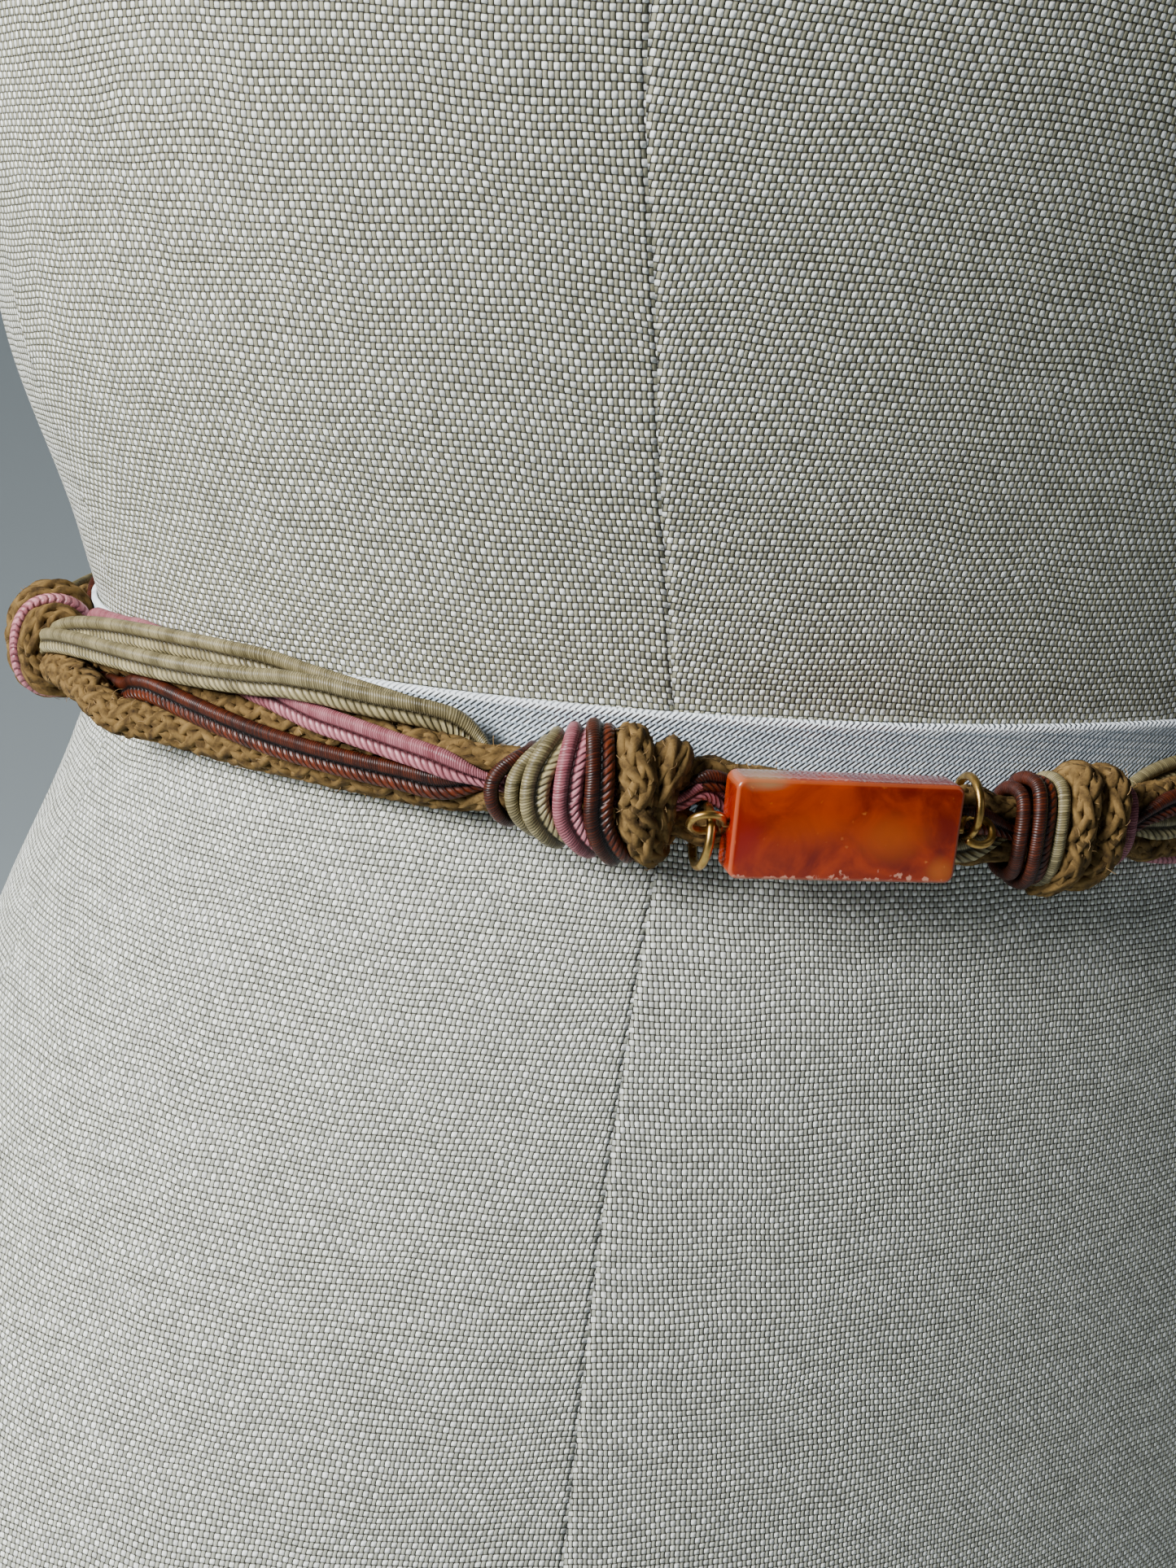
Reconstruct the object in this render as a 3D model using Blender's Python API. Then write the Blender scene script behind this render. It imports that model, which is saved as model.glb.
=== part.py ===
"""A rope belt worn round the waist of a linen dress form.

The belt is a bundle of one tan rope, doubled back at both ends, with four flat silk braids: brown, pink and
two champagne. The bundle is tied in seven knots, a bored stone hangs on its front from two brass rings, and
its ends are joined at the back by a wire hook. Each cord of the bundle runs on through every knot, where the
turns of the knot lie round it as rings. The form is a smooth torso with a waist tape.
Sizes are in millimetres and are turned to metres when a mesh is made. The front of the form looks along -Y.
"""

import math

import bmesh
import bpy
import numpy as np

MM = 0.001
SEAM_GAP = 0.3

WAIST_HEIGHT = 300.0
FORM_SIDES = 40
TAPE_WIDTH = 14.0
TAPE_THICKNESS = 1.0

ROPE_DIAMETER = 5.0
BRAID_WIDTH = 3.6
BRAID_THICKNESS = 1.8
KNOT_SQUEEZE = 0.42
STONE_SQUEEZE = 0.62
SQUEEZE_RUN = 7.0
STATION_STEP = 8.5
CORD_GAP = 0.5
MOST_SPREAD = 8.6

STONE_LENGTH = 27.4
STONE_HEIGHT = 12.5
STONE_DEPTH = 5.2
STONE_BEVEL = 1.0
STONE_BORE = 1.7
STONE_AT = -61.3
STONE_DROP = -4.2
STONE_OUT = 10.2
EYE_RADIUS = 1.6
EYE_WIRE = 1.0
RING_RADIUS = 3.65
RING_WIRE = 1.1
HOOK_WIRE = 1.2
BIGHT_RADIUS = 4.3
BIGHT_AT = 337.0

# The form's level sections, from its base up. Half width to each side, depth to front and back of its axis,
# and squareness, 2 being an ellipse.
FORM_COLUMNS = ("height", "half_width", "front", "back", "squareness")
FORM_SECTIONS = (
    (0.0, 159.0, 97.0, 108.0, 2.15),
    (50.0, 167.0, 102.0, 116.0, 2.15),
    (105.0, 171.0, 106.0, 122.0, 2.15),
    (165.0, 164.0, 105.0, 115.0, 2.12),
    (220.0, 149.0, 100.0, 102.0, 2.08),
    (260.0, 134.0, 95.5, 94.0, 2.02),
    (285.0, 123.2, 91.8, 91.2, 2.0),
    (300.0, 118.7, 90.7, 90.4, 2.0),
    (315.0, 122.3, 91.6, 91.2, 2.0),
    (345.0, 133.2, 96.0, 94.5, 2.02),
    (385.0, 140.0, 106.0, 99.0, 2.05),
    (430.0, 145.0, 117.0, 104.0, 2.1),
    (470.0, 149.0, 122.0, 108.0, 2.15),
    (510.0, 153.0, 117.0, 110.0, 2.2),
    (560.0, 161.0, 101.0, 108.0, 2.25),
    (610.0, 175.0, 82.0, 99.0, 2.3),
    (645.0, 184.0, 69.0, 87.0, 2.3),
    (665.0, 186.0, 62.0, 77.0, 2.3),
    (682.0, 177.5, 58.0, 70.0, 2.2),
    (695.0, 153.0, 56.0, 65.0, 2.15),
    (706.0, 118.0, 54.5, 61.0, 2.1),
    (718.0, 84.0, 54.0, 58.5, 2.0),
    (730.0, 66.0, 54.0, 57.0, 2.0),
    (745.0, 60.5, 54.0, 56.0, 2.0),
    (765.0, 60.0, 54.0, 56.0, 2.0),
)

# How the neck closes: height above the last section and the share of its size there.
NECK_CLOSE = ((2.5, 0.97), (5.0, 0.85), (6.0, 0.5))

# Where each knot is tied, along the belt's middle line from the centre front, to the wearer's left, how far
# the belt hangs below the waist there, and the order of the braids inside it, from the form outwards.
KNOT_COLUMNS = ("name", "along", "drop", "kind", "mirrored", "order")
REAR_ORDER = ("pink", "brown", "champagne_upper", "champagne_lower")
FRONT_ORDER = ("champagne_upper", "champagne_lower", "brown", "pink")
EVEN_ORDER = ("pink", "champagne_upper", "champagne_lower", "brown")
KNOTS = (
    ("knot_1", -317.6, 0.0, "wide", True, REAR_ORDER),
    ("knot_2", -196.0, -1.0, "pink", True, REAR_ORDER),
    ("knot_3", -90.2, -2.5, "wide", False, FRONT_ORDER),
    ("knot_4", -29.4, -5.5, "tan", False, EVEN_ORDER),
    ("knot_5", 86.3, -3.5, "pink", True, EVEN_ORDER),
    ("knot_6", 202.0, -1.5, "wide", True, EVEN_ORDER),
    ("knot_7", 317.6, 0.0, "tan", True, EVEN_ORDER),
)
KNOT_OUT = 7.3

# The turns of each kind of knot, left to right: colour, where the turn's edge is at front, top, back and
# bottom, and the turn's outer half depth and half height. The last row only closes the last turn.
TURN_COLUMNS = ("turn", "front", "top", "back", "bottom", "half_depth", "half_height")
KNOT_TURNS = {
    "wide": (
        ("brown_collar", -13.1, -9.6, -9.6, -10.6, 4.1, 5.1),
        ("champagne", -10.7, -7.4, -7.4, -8.2, 4.7, 6.2),
        ("pink", -4.8, -3.4, -3.4, -2.2, 5.0, 7.3),
        ("brown", -1.3, -1.0, -0.6, 1.0, 5.2, 8.1),
        ("tan", 2.5, 1.6, 2.4, 4.0, 5.4, 8.7),
        ("tan_end", 7.5, 6.0, 6.6, 8.0, 4.9, 7.3),
        ("", 10.4, 9.6, 9.8, 10.4, 0.0, 0.0),
    ),
    "tan": (
        ("brown_collar", -9.8, -8.6, -8.8, -9.2, 4.6, 6.4),
        ("brown", -7.2, -5.2, -5.6, -6.4, 5.0, 7.1),
        ("champagne", -3.7, -3.2, -2.6, -3.4, 5.1, 7.5),
        ("tan", -1.9, -1.0, -0.8, -1.6, 5.4, 8.4),
        ("tan_end", 3.2, 2.4, 3.0, 4.6, 5.2, 7.8),
        ("pink", 7.4, 6.0, 6.4, 8.0, 4.4, 6.2),
        ("", 9.3, 7.8, 8.2, 9.8, 0.0, 0.0),
    ),
    "pink": (
        ("tan", -9.6, -8.8, -9.0, -9.4, 5.1, 7.6),
        ("pink", -4.6, -4.4, -4.2, -4.6, 5.4, 8.1),
        ("tan_end", -0.8, -0.8, -0.4, -1.0, 5.2, 7.7),
        ("champagne", 4.0, 3.8, 4.2, 3.6, 4.7, 6.6),
        ("", 7.8, 7.4, 7.8, 7.2, 0.0, 0.0),
    ),
}

CORDS = ("tan_upper", "tan_lower", "champagne_upper", "champagne_lower", "pink", "brown")

# Where the cords pass inside a knot: the rope above and below its middle, the braids outwards between them.
ROPE_SLOT = 2.45
BRAID_SLOTS = (-2.04, -0.68, 0.68, 2.04)
KNOT_HOLLOW = (2.8, 4.0)
KNOT_ROUNDNESS = 2.3

# The two rings that the stone hangs by: which end of the stone, the direction from the ring's middle to the
# stone's eye above the way out, how the ring is turned about the upright and tipped about the way out, and the
# cords that it goes round.
RING_COLUMNS = ("name", "end", "towards_eye", "turn", "tip", "round")
RINGS = (
    ("ring_left", -1, 42.0, 6.0, -6.0, ("tan_lower",)),
    ("ring_right", 1, -38.0, -6.0, 0.0, ("tan_upper", "brown")),
)

# The ways that the cords lie between knots: for each cord, how far out from the form and how far above the
# belt's middle line it lies, at these shares of the way from one knot to the next.
LAY_STATIONS = (0.16, 0.30, 0.45, 0.60, 0.75, 0.87)
LAYS = {
    "fan": {
        "tan_upper": ((4.3, 3.4), (4.1, 3.2), (4.1, 2.9), (4.1, 2.5), (4.1, 2.7), (4.3, 2.4)),
        "tan_lower": ((8.2, 1.2), (8.0, 0.1), (5.6, -1.9), (4.1, -2.8), (4.1, -3.0), (4.3, -2.8)),
        "champagne_upper": ((5.4, 6.0), (5.0, 7.9), (4.6, 8.6), (4.4, 8.1), (4.4, 6.8), (3.4, 5.6)),
        "champagne_lower": ((8.0, 4.4), (7.6, 5.2), (7.4, 5.6), (7.4, 6.6), (6.2, 6.2), (4.6, 5.2)),
        "pink": ((3.0, 6.2), (2.8, 6.4), (3.0, 6.6), (5.6, 5.4), (8.0, 2.8), (8.0, 0.0)),
        "brown": ((4.2, -0.8), (4.6, 0.6), (7.4, 1.9), (8.0, -0.4), (7.6, -1.4), (7.0, -1.6)),
    },
    "rear": {
        "tan_upper": ((4.4, 2.8), (4.1, 3.0), (4.1, 3.1), (4.1, 3.0), (4.1, 2.8), (4.4, 2.7)),
        "tan_lower": ((4.4, -2.7), (4.1, -2.6), (4.1, -2.5), (4.1, -2.6), (4.1, -2.7), (4.4, -2.7)),
        "champagne_upper": ((7.2, 3.0), (7.4, 3.6), (7.6, 4.0), (7.6, 4.0), (7.4, 3.6), (7.2, 3.0)),
        "champagne_lower": ((8.0, -0.4), (7.6, 0.0), (7.4, 0.0), (7.4, -0.2), (7.6, -0.6), (8.0, -0.6)),
        "pink": ((3.4, -5.6), (3.0, -6.6), (2.9, -6.8), (2.9, -6.7), (3.0, -6.4), (3.4, -5.2)),
        "brown": ((3.4, 6.0), (3.0, 7.2), (2.9, 7.6), (2.9, 7.6), (3.0, 7.0), (3.4, 5.4)),
    },
    "even": {
        "tan_upper": ((4.4, 2.8), (4.1, 2.9), (4.1, 3.1), (4.1, 3.0), (4.1, 2.8), (4.4, 2.7)),
        "tan_lower": ((4.6, -3.4), (4.1, -3.0), (4.1, -2.5), (4.1, -2.6), (4.1, -2.7), (4.4, -2.7)),
        "champagne_upper": ((3.4, 5.6), (3.0, 7.2), (2.9, 7.9), (2.9, 7.6), (3.0, 7.0), (3.4, 5.6)),
        "champagne_lower": ((7.6, 0.5), (7.4, 0.0), (7.4, -0.8), (7.4, -0.4), (7.4, -0.2), (7.4, 0.2)),
        "pink": ((3.4, -5.6), (3.0, -6.6), (2.9, -6.8), (2.9, -6.7), (3.0, -6.4), (3.4, -5.2)),
        "brown": ((8.0, 3.9), (7.6, 3.9), (7.4, 3.4), (7.6, 3.8), (7.6, 3.8), (8.0, 3.4)),
    },
    "stone": {
        "tan_upper": ((4.4, 4.6), (3.6, 4.2), (3.5, 3.3), (3.6, 3.2), (5.8, 3.4), (6.8, 3.0)),
        "tan_lower": ((7.2, -4.2), (6.6, -4.2), (3.6, -3.3), (3.5, -3.4), (3.6, -4.0), (5.0, -3.6)),
        "champagne_upper": ((4.0, 1.2), (2.6, 0.6), (2.4, 0.0), (2.4, 0.0), (3.0, -1.4), (5.0, -1.0)),
        "champagne_lower": ((6.4, 1.4), (5.6, 1.0), (4.3, 0.0), (4.3, 0.0), (5.0, -2.4), (6.8, -2.0)),
        "pink": ((8.0, 2.0), (5.8, -2.6), (4.6, -6.6), (2.6, -6.6), (3.0, -6.2), (4.0, -4.4)),
        "brown": ((8.6, 5.2), (5.4, 6.4), (4.0, 6.6), (4.6, 6.6), (7.6, 4.6), (8.4, 3.0)),
    },
}
SPAN_LAYS = ("rear", "fan", "stone", "even", "even", "even")


def smooth_through(xs, ys, at):
    """The smooth curve through the points that never overshoots a row, read at the places asked for."""
    xs = np.asarray(xs, float)
    ys = np.asarray(ys, float)
    step = np.diff(xs)
    slope = np.diff(ys) / step
    tangent = np.zeros_like(ys)
    before = 2 * step[1:] + step[:-1]
    after = step[1:] + 2 * step[:-1]
    same = slope[:-1] * slope[1:] > 0
    inner = np.zeros(len(ys) - 2)
    inner[same] = (before + after)[same] / (before[same] / slope[:-1][same] + after[same] / slope[1:][same])
    tangent[1:-1] = inner
    tangent[0] = slope[0]
    tangent[-1] = slope[-1]
    at = np.asarray(at, float)
    row = np.clip(np.searchsorted(xs, at) - 1, 0, len(step) - 1)
    share = (at - xs[row]) / step[row]
    rest = 1 - share
    return (
        (1 + 2 * share) * rest**2 * ys[row]
        + share * rest**2 * step[row] * tangent[row]
        + share**2 * (3 - 2 * share) * ys[row + 1]
        + share**2 * (share - 1) * step[row] * tangent[row + 1]
    )


def form_point(angle, height, out=0.0):
    """A point of the form's level section. Angle 0 is the centre front and a quarter turn is the left side."""
    rows = np.array(FORM_SECTIONS)
    width, front, back, square = (smooth_through(rows[:, 0], rows[:, k], height) for k in range(1, 5))
    side = np.sin(angle)
    ahead = np.cos(angle)
    depth = np.where(ahead > 0, front, back)
    x = (width + out) * np.sign(side) * np.abs(side) ** (2 / square)
    y = -(depth + out) * np.sign(ahead) * np.abs(ahead) ** (2 / square)
    return np.stack([x, y, np.broadcast_to(height, x.shape)], -1)


class Waistline:
    """The belt's middle line round the waist, measured from the centre front to the wearer's left."""

    FINENESS = 3600
    MIDDLE_OUT = 6.5

    def __init__(self):
        angle = np.linspace(-math.pi, math.pi, 2 * self.FINENESS + 1)
        points = form_point(angle, np.full(angle.shape, WAIST_HEIGHT))[:, :2]
        along = np.gradient(points, axis=0)
        along[0] = along[-1] = (points[1] - points[-2]) / 2
        along /= np.linalg.norm(along, axis=1)[:, None]
        self.points = points
        self.outward = np.stack([along[:, 1], -along[:, 0]], -1)
        middle = points + self.outward * self.MIDDLE_OUT
        run = np.concatenate([[0.0], np.cumsum(np.linalg.norm(np.diff(middle, axis=0), axis=1))])
        self.run = run - run[self.FINENESS]
        self.angle = angle

    def half(self):
        return self.run[-1]

    def frame(self, along):
        """The point on the form, the way out and the way along, at a distance along the belt."""
        along = (np.asarray(along, float) + self.half()) % (2 * self.half()) - self.half()
        point = np.stack([np.interp(along, self.run, self.points[:, k]) for k in (0, 1)], -1)
        out = np.stack([np.interp(along, self.run, self.outward[:, k]) for k in (0, 1)], -1)
        out /= np.linalg.norm(out, axis=-1)[..., None]
        return point, out, np.stack([-out[..., 1], out[..., 0]], -1)

    def place(self, along, out, height):
        """A point so far along the belt, out from the form at the waist, and above the base."""
        point, outward, _ = self.frame(along)
        flat = point + outward * np.asarray(out, float)[..., None]
        return np.concatenate([flat, np.broadcast_to(height, flat.shape[:-1])[..., None]], -1)

    def swell(self, along, up):
        """How much further out than at the waist the form's skin is, so far above the waist."""
        along = (np.asarray(along, float) + self.half()) % (2 * self.half()) - self.half()
        angle = np.interp(along, self.run, self.angle)
        at_waist = form_point(angle, np.full(np.shape(angle), WAIST_HEIGHT))
        here = form_point(angle, WAIST_HEIGHT + up)
        return np.linalg.norm(here[..., :2], axis=-1) - np.linalg.norm(at_waist[..., :2], axis=-1)


WAIST = Waistline()
KNOT_AT = np.array([row[1] for row in KNOTS])
KNOT_DROP = np.array([row[2] for row in KNOTS])


def belt_drop(along):
    """How far above the waist the belt's middle line hangs."""
    reach = 40.0
    places = np.concatenate([[KNOT_AT[0] - reach], KNOT_AT, [KNOT_AT[-1] + reach]])
    drops = np.concatenate([[KNOT_DROP[0]], KNOT_DROP, [KNOT_DROP[-1]]])
    return smooth_through(places, drops, np.asarray(along, float))


def knot_edges(row):
    """The turns of one knot, in the order that they lie along the belt, mirrored where the knot is."""
    turns = KNOT_TURNS[row[3]]
    edges = np.array([t[1:5] for t in turns])
    names = [t[0] for t in turns[:-1]]
    sizes = [t[5:7] for t in turns[:-1]]
    if row[4]:
        return names[::-1], -edges[::-1], sizes[::-1]
    return names, edges, sizes


def knot_reach(row):
    """How far a knot reaches to its left and to its right."""
    _, edges, _ = knot_edges(row)
    return edges[0].min(), edges[-1].max()


def squeeze(along):
    """How tightly the cords are drawn at a place: 1 where they lie free, less in a knot and behind the stone."""
    tight = np.ones_like(along)
    behind_stone = (along > KNOT_AT[2]) & (along < KNOT_AT[3])
    tight[behind_stone] = STONE_SQUEEZE
    for row in KNOTS:
        left, right = knot_reach(row)
        beyond = np.maximum(row[1] + left - along, along - row[1] - right)
        share = np.clip(beyond / SQUEEZE_RUN, 0.0, 1.0)
        share = share * share * (3 - 2 * share)
        tight = np.minimum(tight, KNOT_SQUEEZE + (1 - KNOT_SQUEEZE) * share)
    return tight


def belt_stations(step):
    """The places along the belt where the cords are drawn, some of them at the knots and the stone."""
    marks = []
    for row in KNOTS:
        left, right = knot_reach(row)
        for away in (SQUEEZE_RUN, SQUEEZE_RUN / 2, 0.0):
            marks.append(row[1] + left - away)
        marks.append(row[1])
        for away in (0.0, SQUEEZE_RUN / 2, SQUEEZE_RUN):
            marks.append(row[1] + right + away)
    marks = marks[2:-2]
    marks += [STONE_AT - STONE_LENGTH / 2 - SEAM_GAP, STONE_AT + STONE_LENGTH / 2 + SEAM_GAP]
    marks.sort()
    places = []
    for start, end in zip(marks[:-1], marks[1:]):
        count = max(1, round((end - start) / step))
        places += list(np.linspace(start, end, count, endpoint=False))
    return np.array(places + [marks[-1]])


def knot_slot(row, cord):
    """Where a cord passes inside a knot: out from the form, and up from the belt's middle line."""
    if cord == "tan_upper":
        return KNOT_OUT, ROPE_SLOT
    if cord == "tan_lower":
        return KNOT_OUT, -ROPE_SLOT
    return KNOT_OUT + BRAID_SLOTS[row[5].index(cord)], 0.0


def lay_targets(places):
    """Where each cord wants to lie, out and up, before the cords make room for each other."""
    wanted = {cord: np.zeros((len(places), 2)) for cord in CORDS}
    for span, lay in enumerate(SPAN_LAYS):
        start, end = KNOT_AT[span], KNOT_AT[span + 1]
        inside = (places >= start) & (places <= end)
        share = (places[inside] - start) / (end - start)
        for cord in CORDS:
            rows = [knot_slot(KNOTS[span], cord), *LAYS[lay][cord], knot_slot(KNOTS[span + 1], cord)]
            for k in (0, 1):
                line = smooth_through([0.0, *LAY_STATIONS, 1.0], [r[k] for r in rows], share)
                wanted[cord][inside, k] = line
    for cord in CORDS:
        for row in KNOTS:
            left, right = knot_reach(row)
            inside = (places >= row[1] + left - 0.01) & (places <= row[1] + right + 0.01)
            wanted[cord][inside] = knot_slot(row, cord)
    return np.stack([wanted[cord] for cord in CORDS])


def lobes(cord):
    """A cord's section as round lobes: one for the rope, two side by side for a braid's two ridges."""
    if cord.startswith("tan"):
        return ((0.0, ROPE_DIAMETER / 2),)
    return ((-BRAID_THICKNESS / 2, BRAID_THICKNESS / 2), (BRAID_THICKNESS / 2, BRAID_THICKNESS / 2))


def spread_cords(lies, tight, fixed, share):
    """Pushes apart the cords that come too close, at this share of the way from each station to the next."""
    here = lies[:, :-1] * (1 - share) + lies[:, 1:] * share
    size = tight[:-1] * (1 - share) + tight[1:] * share
    moves = np.zeros_like(here)
    for a, first in enumerate(CORDS):
        for b in range(a + 1, len(CORDS)):
            for shift_a, radius_a in lobes(first):
                for shift_b, radius_b in lobes(CORDS[b]):
                    away = here[a] + moves[a] - here[b] - moves[b]
                    away[:, 1] += (shift_a - shift_b) * size
                    apart = np.linalg.norm(away, axis=1) + 1e-9
                    short = np.maximum((radius_a + radius_b) * size + CORD_GAP - apart, 0.0)
                    push = away / apart[:, None] * short[:, None] * 0.8
                    heavy = radius_a / (radius_a + radius_b)
                    moves[a] += push * (1 - heavy)
                    moves[b] -= push * heavy
    reach = (1 - share) ** 2 + share**2
    first = moves * (1 - share) / reach
    second = moves * share / reach
    first[:, fixed[:-1]] = 0.0
    second[:, fixed[1:]] = 0.0
    lies[:, :-1] += first
    lies[:, 1:] += second


def local_axes(along):
    """The middle of the belt's place on the form, and the ways along, out and up there."""
    point, out, onward = WAIST.frame(along)
    return (
        np.array([*point, WAIST_HEIGHT]),
        np.array([*onward, 0.0]),
        np.array([*out, 0.0]),
        np.array([0.0, 0.0, 1.0]),
    )


def stone_axes():
    middle, onward, outward, upward = local_axes(STONE_AT)
    return middle + outward * STONE_OUT + upward * STONE_DROP, onward, outward, upward


def eye_middle(end):
    """The middle of the wire's eye at one end of the stone."""
    middle, onward, _, _ = stone_axes()
    return middle + onward * end * (STONE_LENGTH / 2 + 0.6 + EYE_RADIUS)


def ring_middle(row):
    """Where a jump ring's middle is: its place along the belt, out from the form and up from the waist."""
    eye = eye_middle(row[1])
    near = STONE_AT + row[1] * (STONE_LENGTH / 2 + np.linspace(-2.0, 6.0, 1601))
    points, _, onward = WAIST.frame(near)
    along = near[np.abs(np.sum((eye[:2] - points) * onward, axis=1)).argmin()]
    middle, _, outward, _ = local_axes(along)
    lean = math.radians(row[2])
    out = (eye - middle) @ outward - RING_RADIUS * math.cos(lean)
    return along, out, eye[2] - WAIST_HEIGHT - RING_RADIUS * math.sin(lean)


def clear_ring(lies, places, tight, drop, fixed, row):
    """Keeps a jump ring's cords inside it and the others outside it."""
    at, ring_out, ring_up = ring_middle(row)
    k = np.searchsorted(places, at) - 1
    share = (at - places[k]) / (places[k + 1] - places[k])
    size = tight[k] * (1 - share) + tight[k + 1] * share
    hang = drop[k] * (1 - share) + drop[k + 1] * share
    reach = (1 - share) ** 2 + share**2
    for a, cord in enumerate(CORDS):
        for shift, radius in lobes(cord):
            away = lies[a, k] * (1 - share) + lies[a, k + 1] * share
            away = away + (0.0, shift * size + hang) - np.array([ring_out, ring_up])
            apart = np.linalg.norm(away) + 1e-9
            if cord in row[5]:
                push = min(RING_RADIUS - RING_WIRE / 2 - CORD_GAP - radius * size - apart, 0.0)
            else:
                push = max(RING_RADIUS + RING_WIRE / 2 + CORD_GAP + radius * size - apart, 0.0)
            for step, part in ((k, 1 - share), (k + 1, share)):
                if not fixed[step]:
                    lies[a, step] += away / apart * push * 0.8 * part / reach


def make_room(places, wanted, rounds=420):
    """Moves the cords apart, out of the form and clear of the stone and rings, as little as they need to."""
    lies = wanted.copy()
    tight = squeeze(places)
    in_knot = np.zeros(len(places), bool)
    for row in KNOTS:
        left, right = knot_reach(row)
        in_knot |= (places >= row[1] + left - 0.01) & (places <= row[1] + right + 0.01)
    drop = belt_drop(places)
    behind = np.abs(places - STONE_AT) < STONE_LENGTH / 2 + 2 * SEAM_GAP
    ceiling = STONE_OUT - STONE_DEPTH / 2 - CORD_GAP
    floor = TAPE_THICKNESS + 2 * SEAM_GAP
    skins = {}
    for turn in range(rounds):
        settle = turn > rounds * 0.6
        if not settle:
            lies += (wanted - lies) * 0.06
        for share in (0.0, 1 / 3, 2 / 3):
            spread_cords(lies, tight, in_knot, share)
        for row in RINGS:
            clear_ring(lies, places, tight, drop, in_knot, row)
        for a, cord in enumerate(CORDS):
            for shift, radius in lobes(cord):
                if turn % 5 == 0:
                    skins[cord, shift] = WAIST.swell(places, lies[a][:, 1] + shift * tight + drop)
                low = floor + skins[cord, shift] + radius * tight
                low[in_knot] = 0.0
                lies[a][:, 0] = np.maximum(lies[a][:, 0], low)
                high = np.where(behind, ceiling - radius * tight, 1e3)
                lies[a][:, 0] = np.minimum(lies[a][:, 0], high)
        lies[:, :, 1] = np.clip(lies[:, :, 1], -MOST_SPREAD, MOST_SPREAD)
        if not settle:
            smooth = lies.copy()
            smooth[:, 1:-1] = 0.5 * lies[:, 1:-1] + 0.25 * (lies[:, 2:] + lies[:, :-2])
            smooth[:, in_knot] = lies[:, in_knot]
            lies = smooth
    return lies


def make_material(name, colour, roughness, metallic=0.0):
    material = bpy.data.materials.new(name)
    material.use_nodes = True
    shader = material.node_tree.nodes["Principled BSDF"]
    shader.inputs["Base Color"].default_value = (*colour, 1.0)
    shader.inputs["Roughness"].default_value = roughness
    shader.inputs["Metallic"].default_value = metallic
    return material


def make_object(name, rings, material, closed=False):
    """A body whose skin joins each ring of points to the next, its ends closed unless the rings join up."""
    rings = [np.asarray(ring) * MM for ring in rings]
    mesh = bpy.data.meshes.new(name)
    points = [tuple(point) for ring in rings for point in ring]
    sides = len(rings[0])
    joins = len(rings) if closed else len(rings) - 1
    faces = []
    for ring in range(joins):
        start = ring * sides
        following = ((ring + 1) % len(rings)) * sides
        for side in range(sides):
            other = (side + 1) % sides
            faces.append((start + side, start + other, following + other, following + side))
    if not closed:
        faces.append(tuple(range(sides))[::-1])
        faces.append(tuple(range((len(rings) - 1) * sides, len(rings) * sides)))
    mesh.from_pydata(points, [], faces)
    shape = bmesh.new()
    shape.from_mesh(mesh)
    bmesh.ops.recalc_face_normals(shape, faces=shape.faces)
    shape.to_mesh(mesh)
    shape.free()
    mesh.shade_smooth()
    mesh.set_sharp_from_angle(angle=math.radians(50.0))
    mesh.materials.append(material)
    thing = bpy.data.objects.new(name, mesh)
    bpy.context.scene.collection.objects.link(thing)
    return thing


def level_ring(height, out=0.0, share=1.0, lift=0.0):
    """The form's level section as a ring of points, at a height that may lie above the last section."""
    angle = np.arange(FORM_SIDES) / FORM_SIDES * math.tau
    points = form_point(angle, np.full(FORM_SIDES, height), out)
    points[:, :2] *= share
    points[:, 2] += lift
    return points


def make_form(material):
    heights = sorted({row[0] for row in FORM_SECTIONS} | set(tape_heights()))
    rings = [level_ring(height) for height in heights]
    rings += [level_ring(heights[-1], share=share, lift=lift) for lift, share in NECK_CLOSE]
    return make_object("form_body", rings, material)


def tape_heights():
    """The heights of the waist tape's lower edge, middle and upper edge."""
    top = WAIST_HEIGHT + 6.5
    return (top - TAPE_WIDTH, WAIST_HEIGHT, top)


def make_tape(material):
    heights = tape_heights()
    inner = [level_ring(height, SEAM_GAP) for height in heights]
    outer = [level_ring(height, SEAM_GAP + TAPE_THICKNESS) for height in heights]
    return make_object("waist_tape", inner + outer[::-1], material, closed=True)


def rope_section(tight):
    """The round of the rope, out and up from its middle."""
    turn = np.arange(8) / 8 * math.tau + math.pi / 8
    radius = ROPE_DIAMETER / 2 * tight
    return np.stack([radius * np.cos(turn), radius * np.sin(turn)], -1)


def braid_section(tight):
    """The figure of eight of a flat braid's two ridges, out and up from its middle."""
    deep, wide = BRAID_THICKNESS / 2, BRAID_WIDTH / 2
    half = [(0.0, wide), (deep * 0.94, wide * 0.52), (deep * 0.66, 0.0), (deep * 0.94, -wide * 0.52)]
    return np.array(half + [(-x, -y) for x, y in half]) * tight


def belt_ring(along, out, up, section):
    """A section of a cord, set square across the belt."""
    spread = np.full(len(section), along)
    return WAIST.place(spread, out + section[:, 0], WAIST_HEIGHT + up + section[:, 1])


def make_braid(cord, places, lies, material):
    """A braid with its ends in the middle of the two end knots."""
    between = (places > KNOT_AT[0] - 0.01) & (places < KNOT_AT[-1] + 0.01)
    places, lies = places[between], lies[between]
    tight = squeeze(places)
    drop = belt_drop(places)
    rings = []
    for k, along in enumerate(places):
        rings.append(belt_ring(along, lies[k, 0], lies[k, 1] + drop[k], braid_section(tight[k])))
    return make_object(f"{cord}_braid", rings, material)


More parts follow.
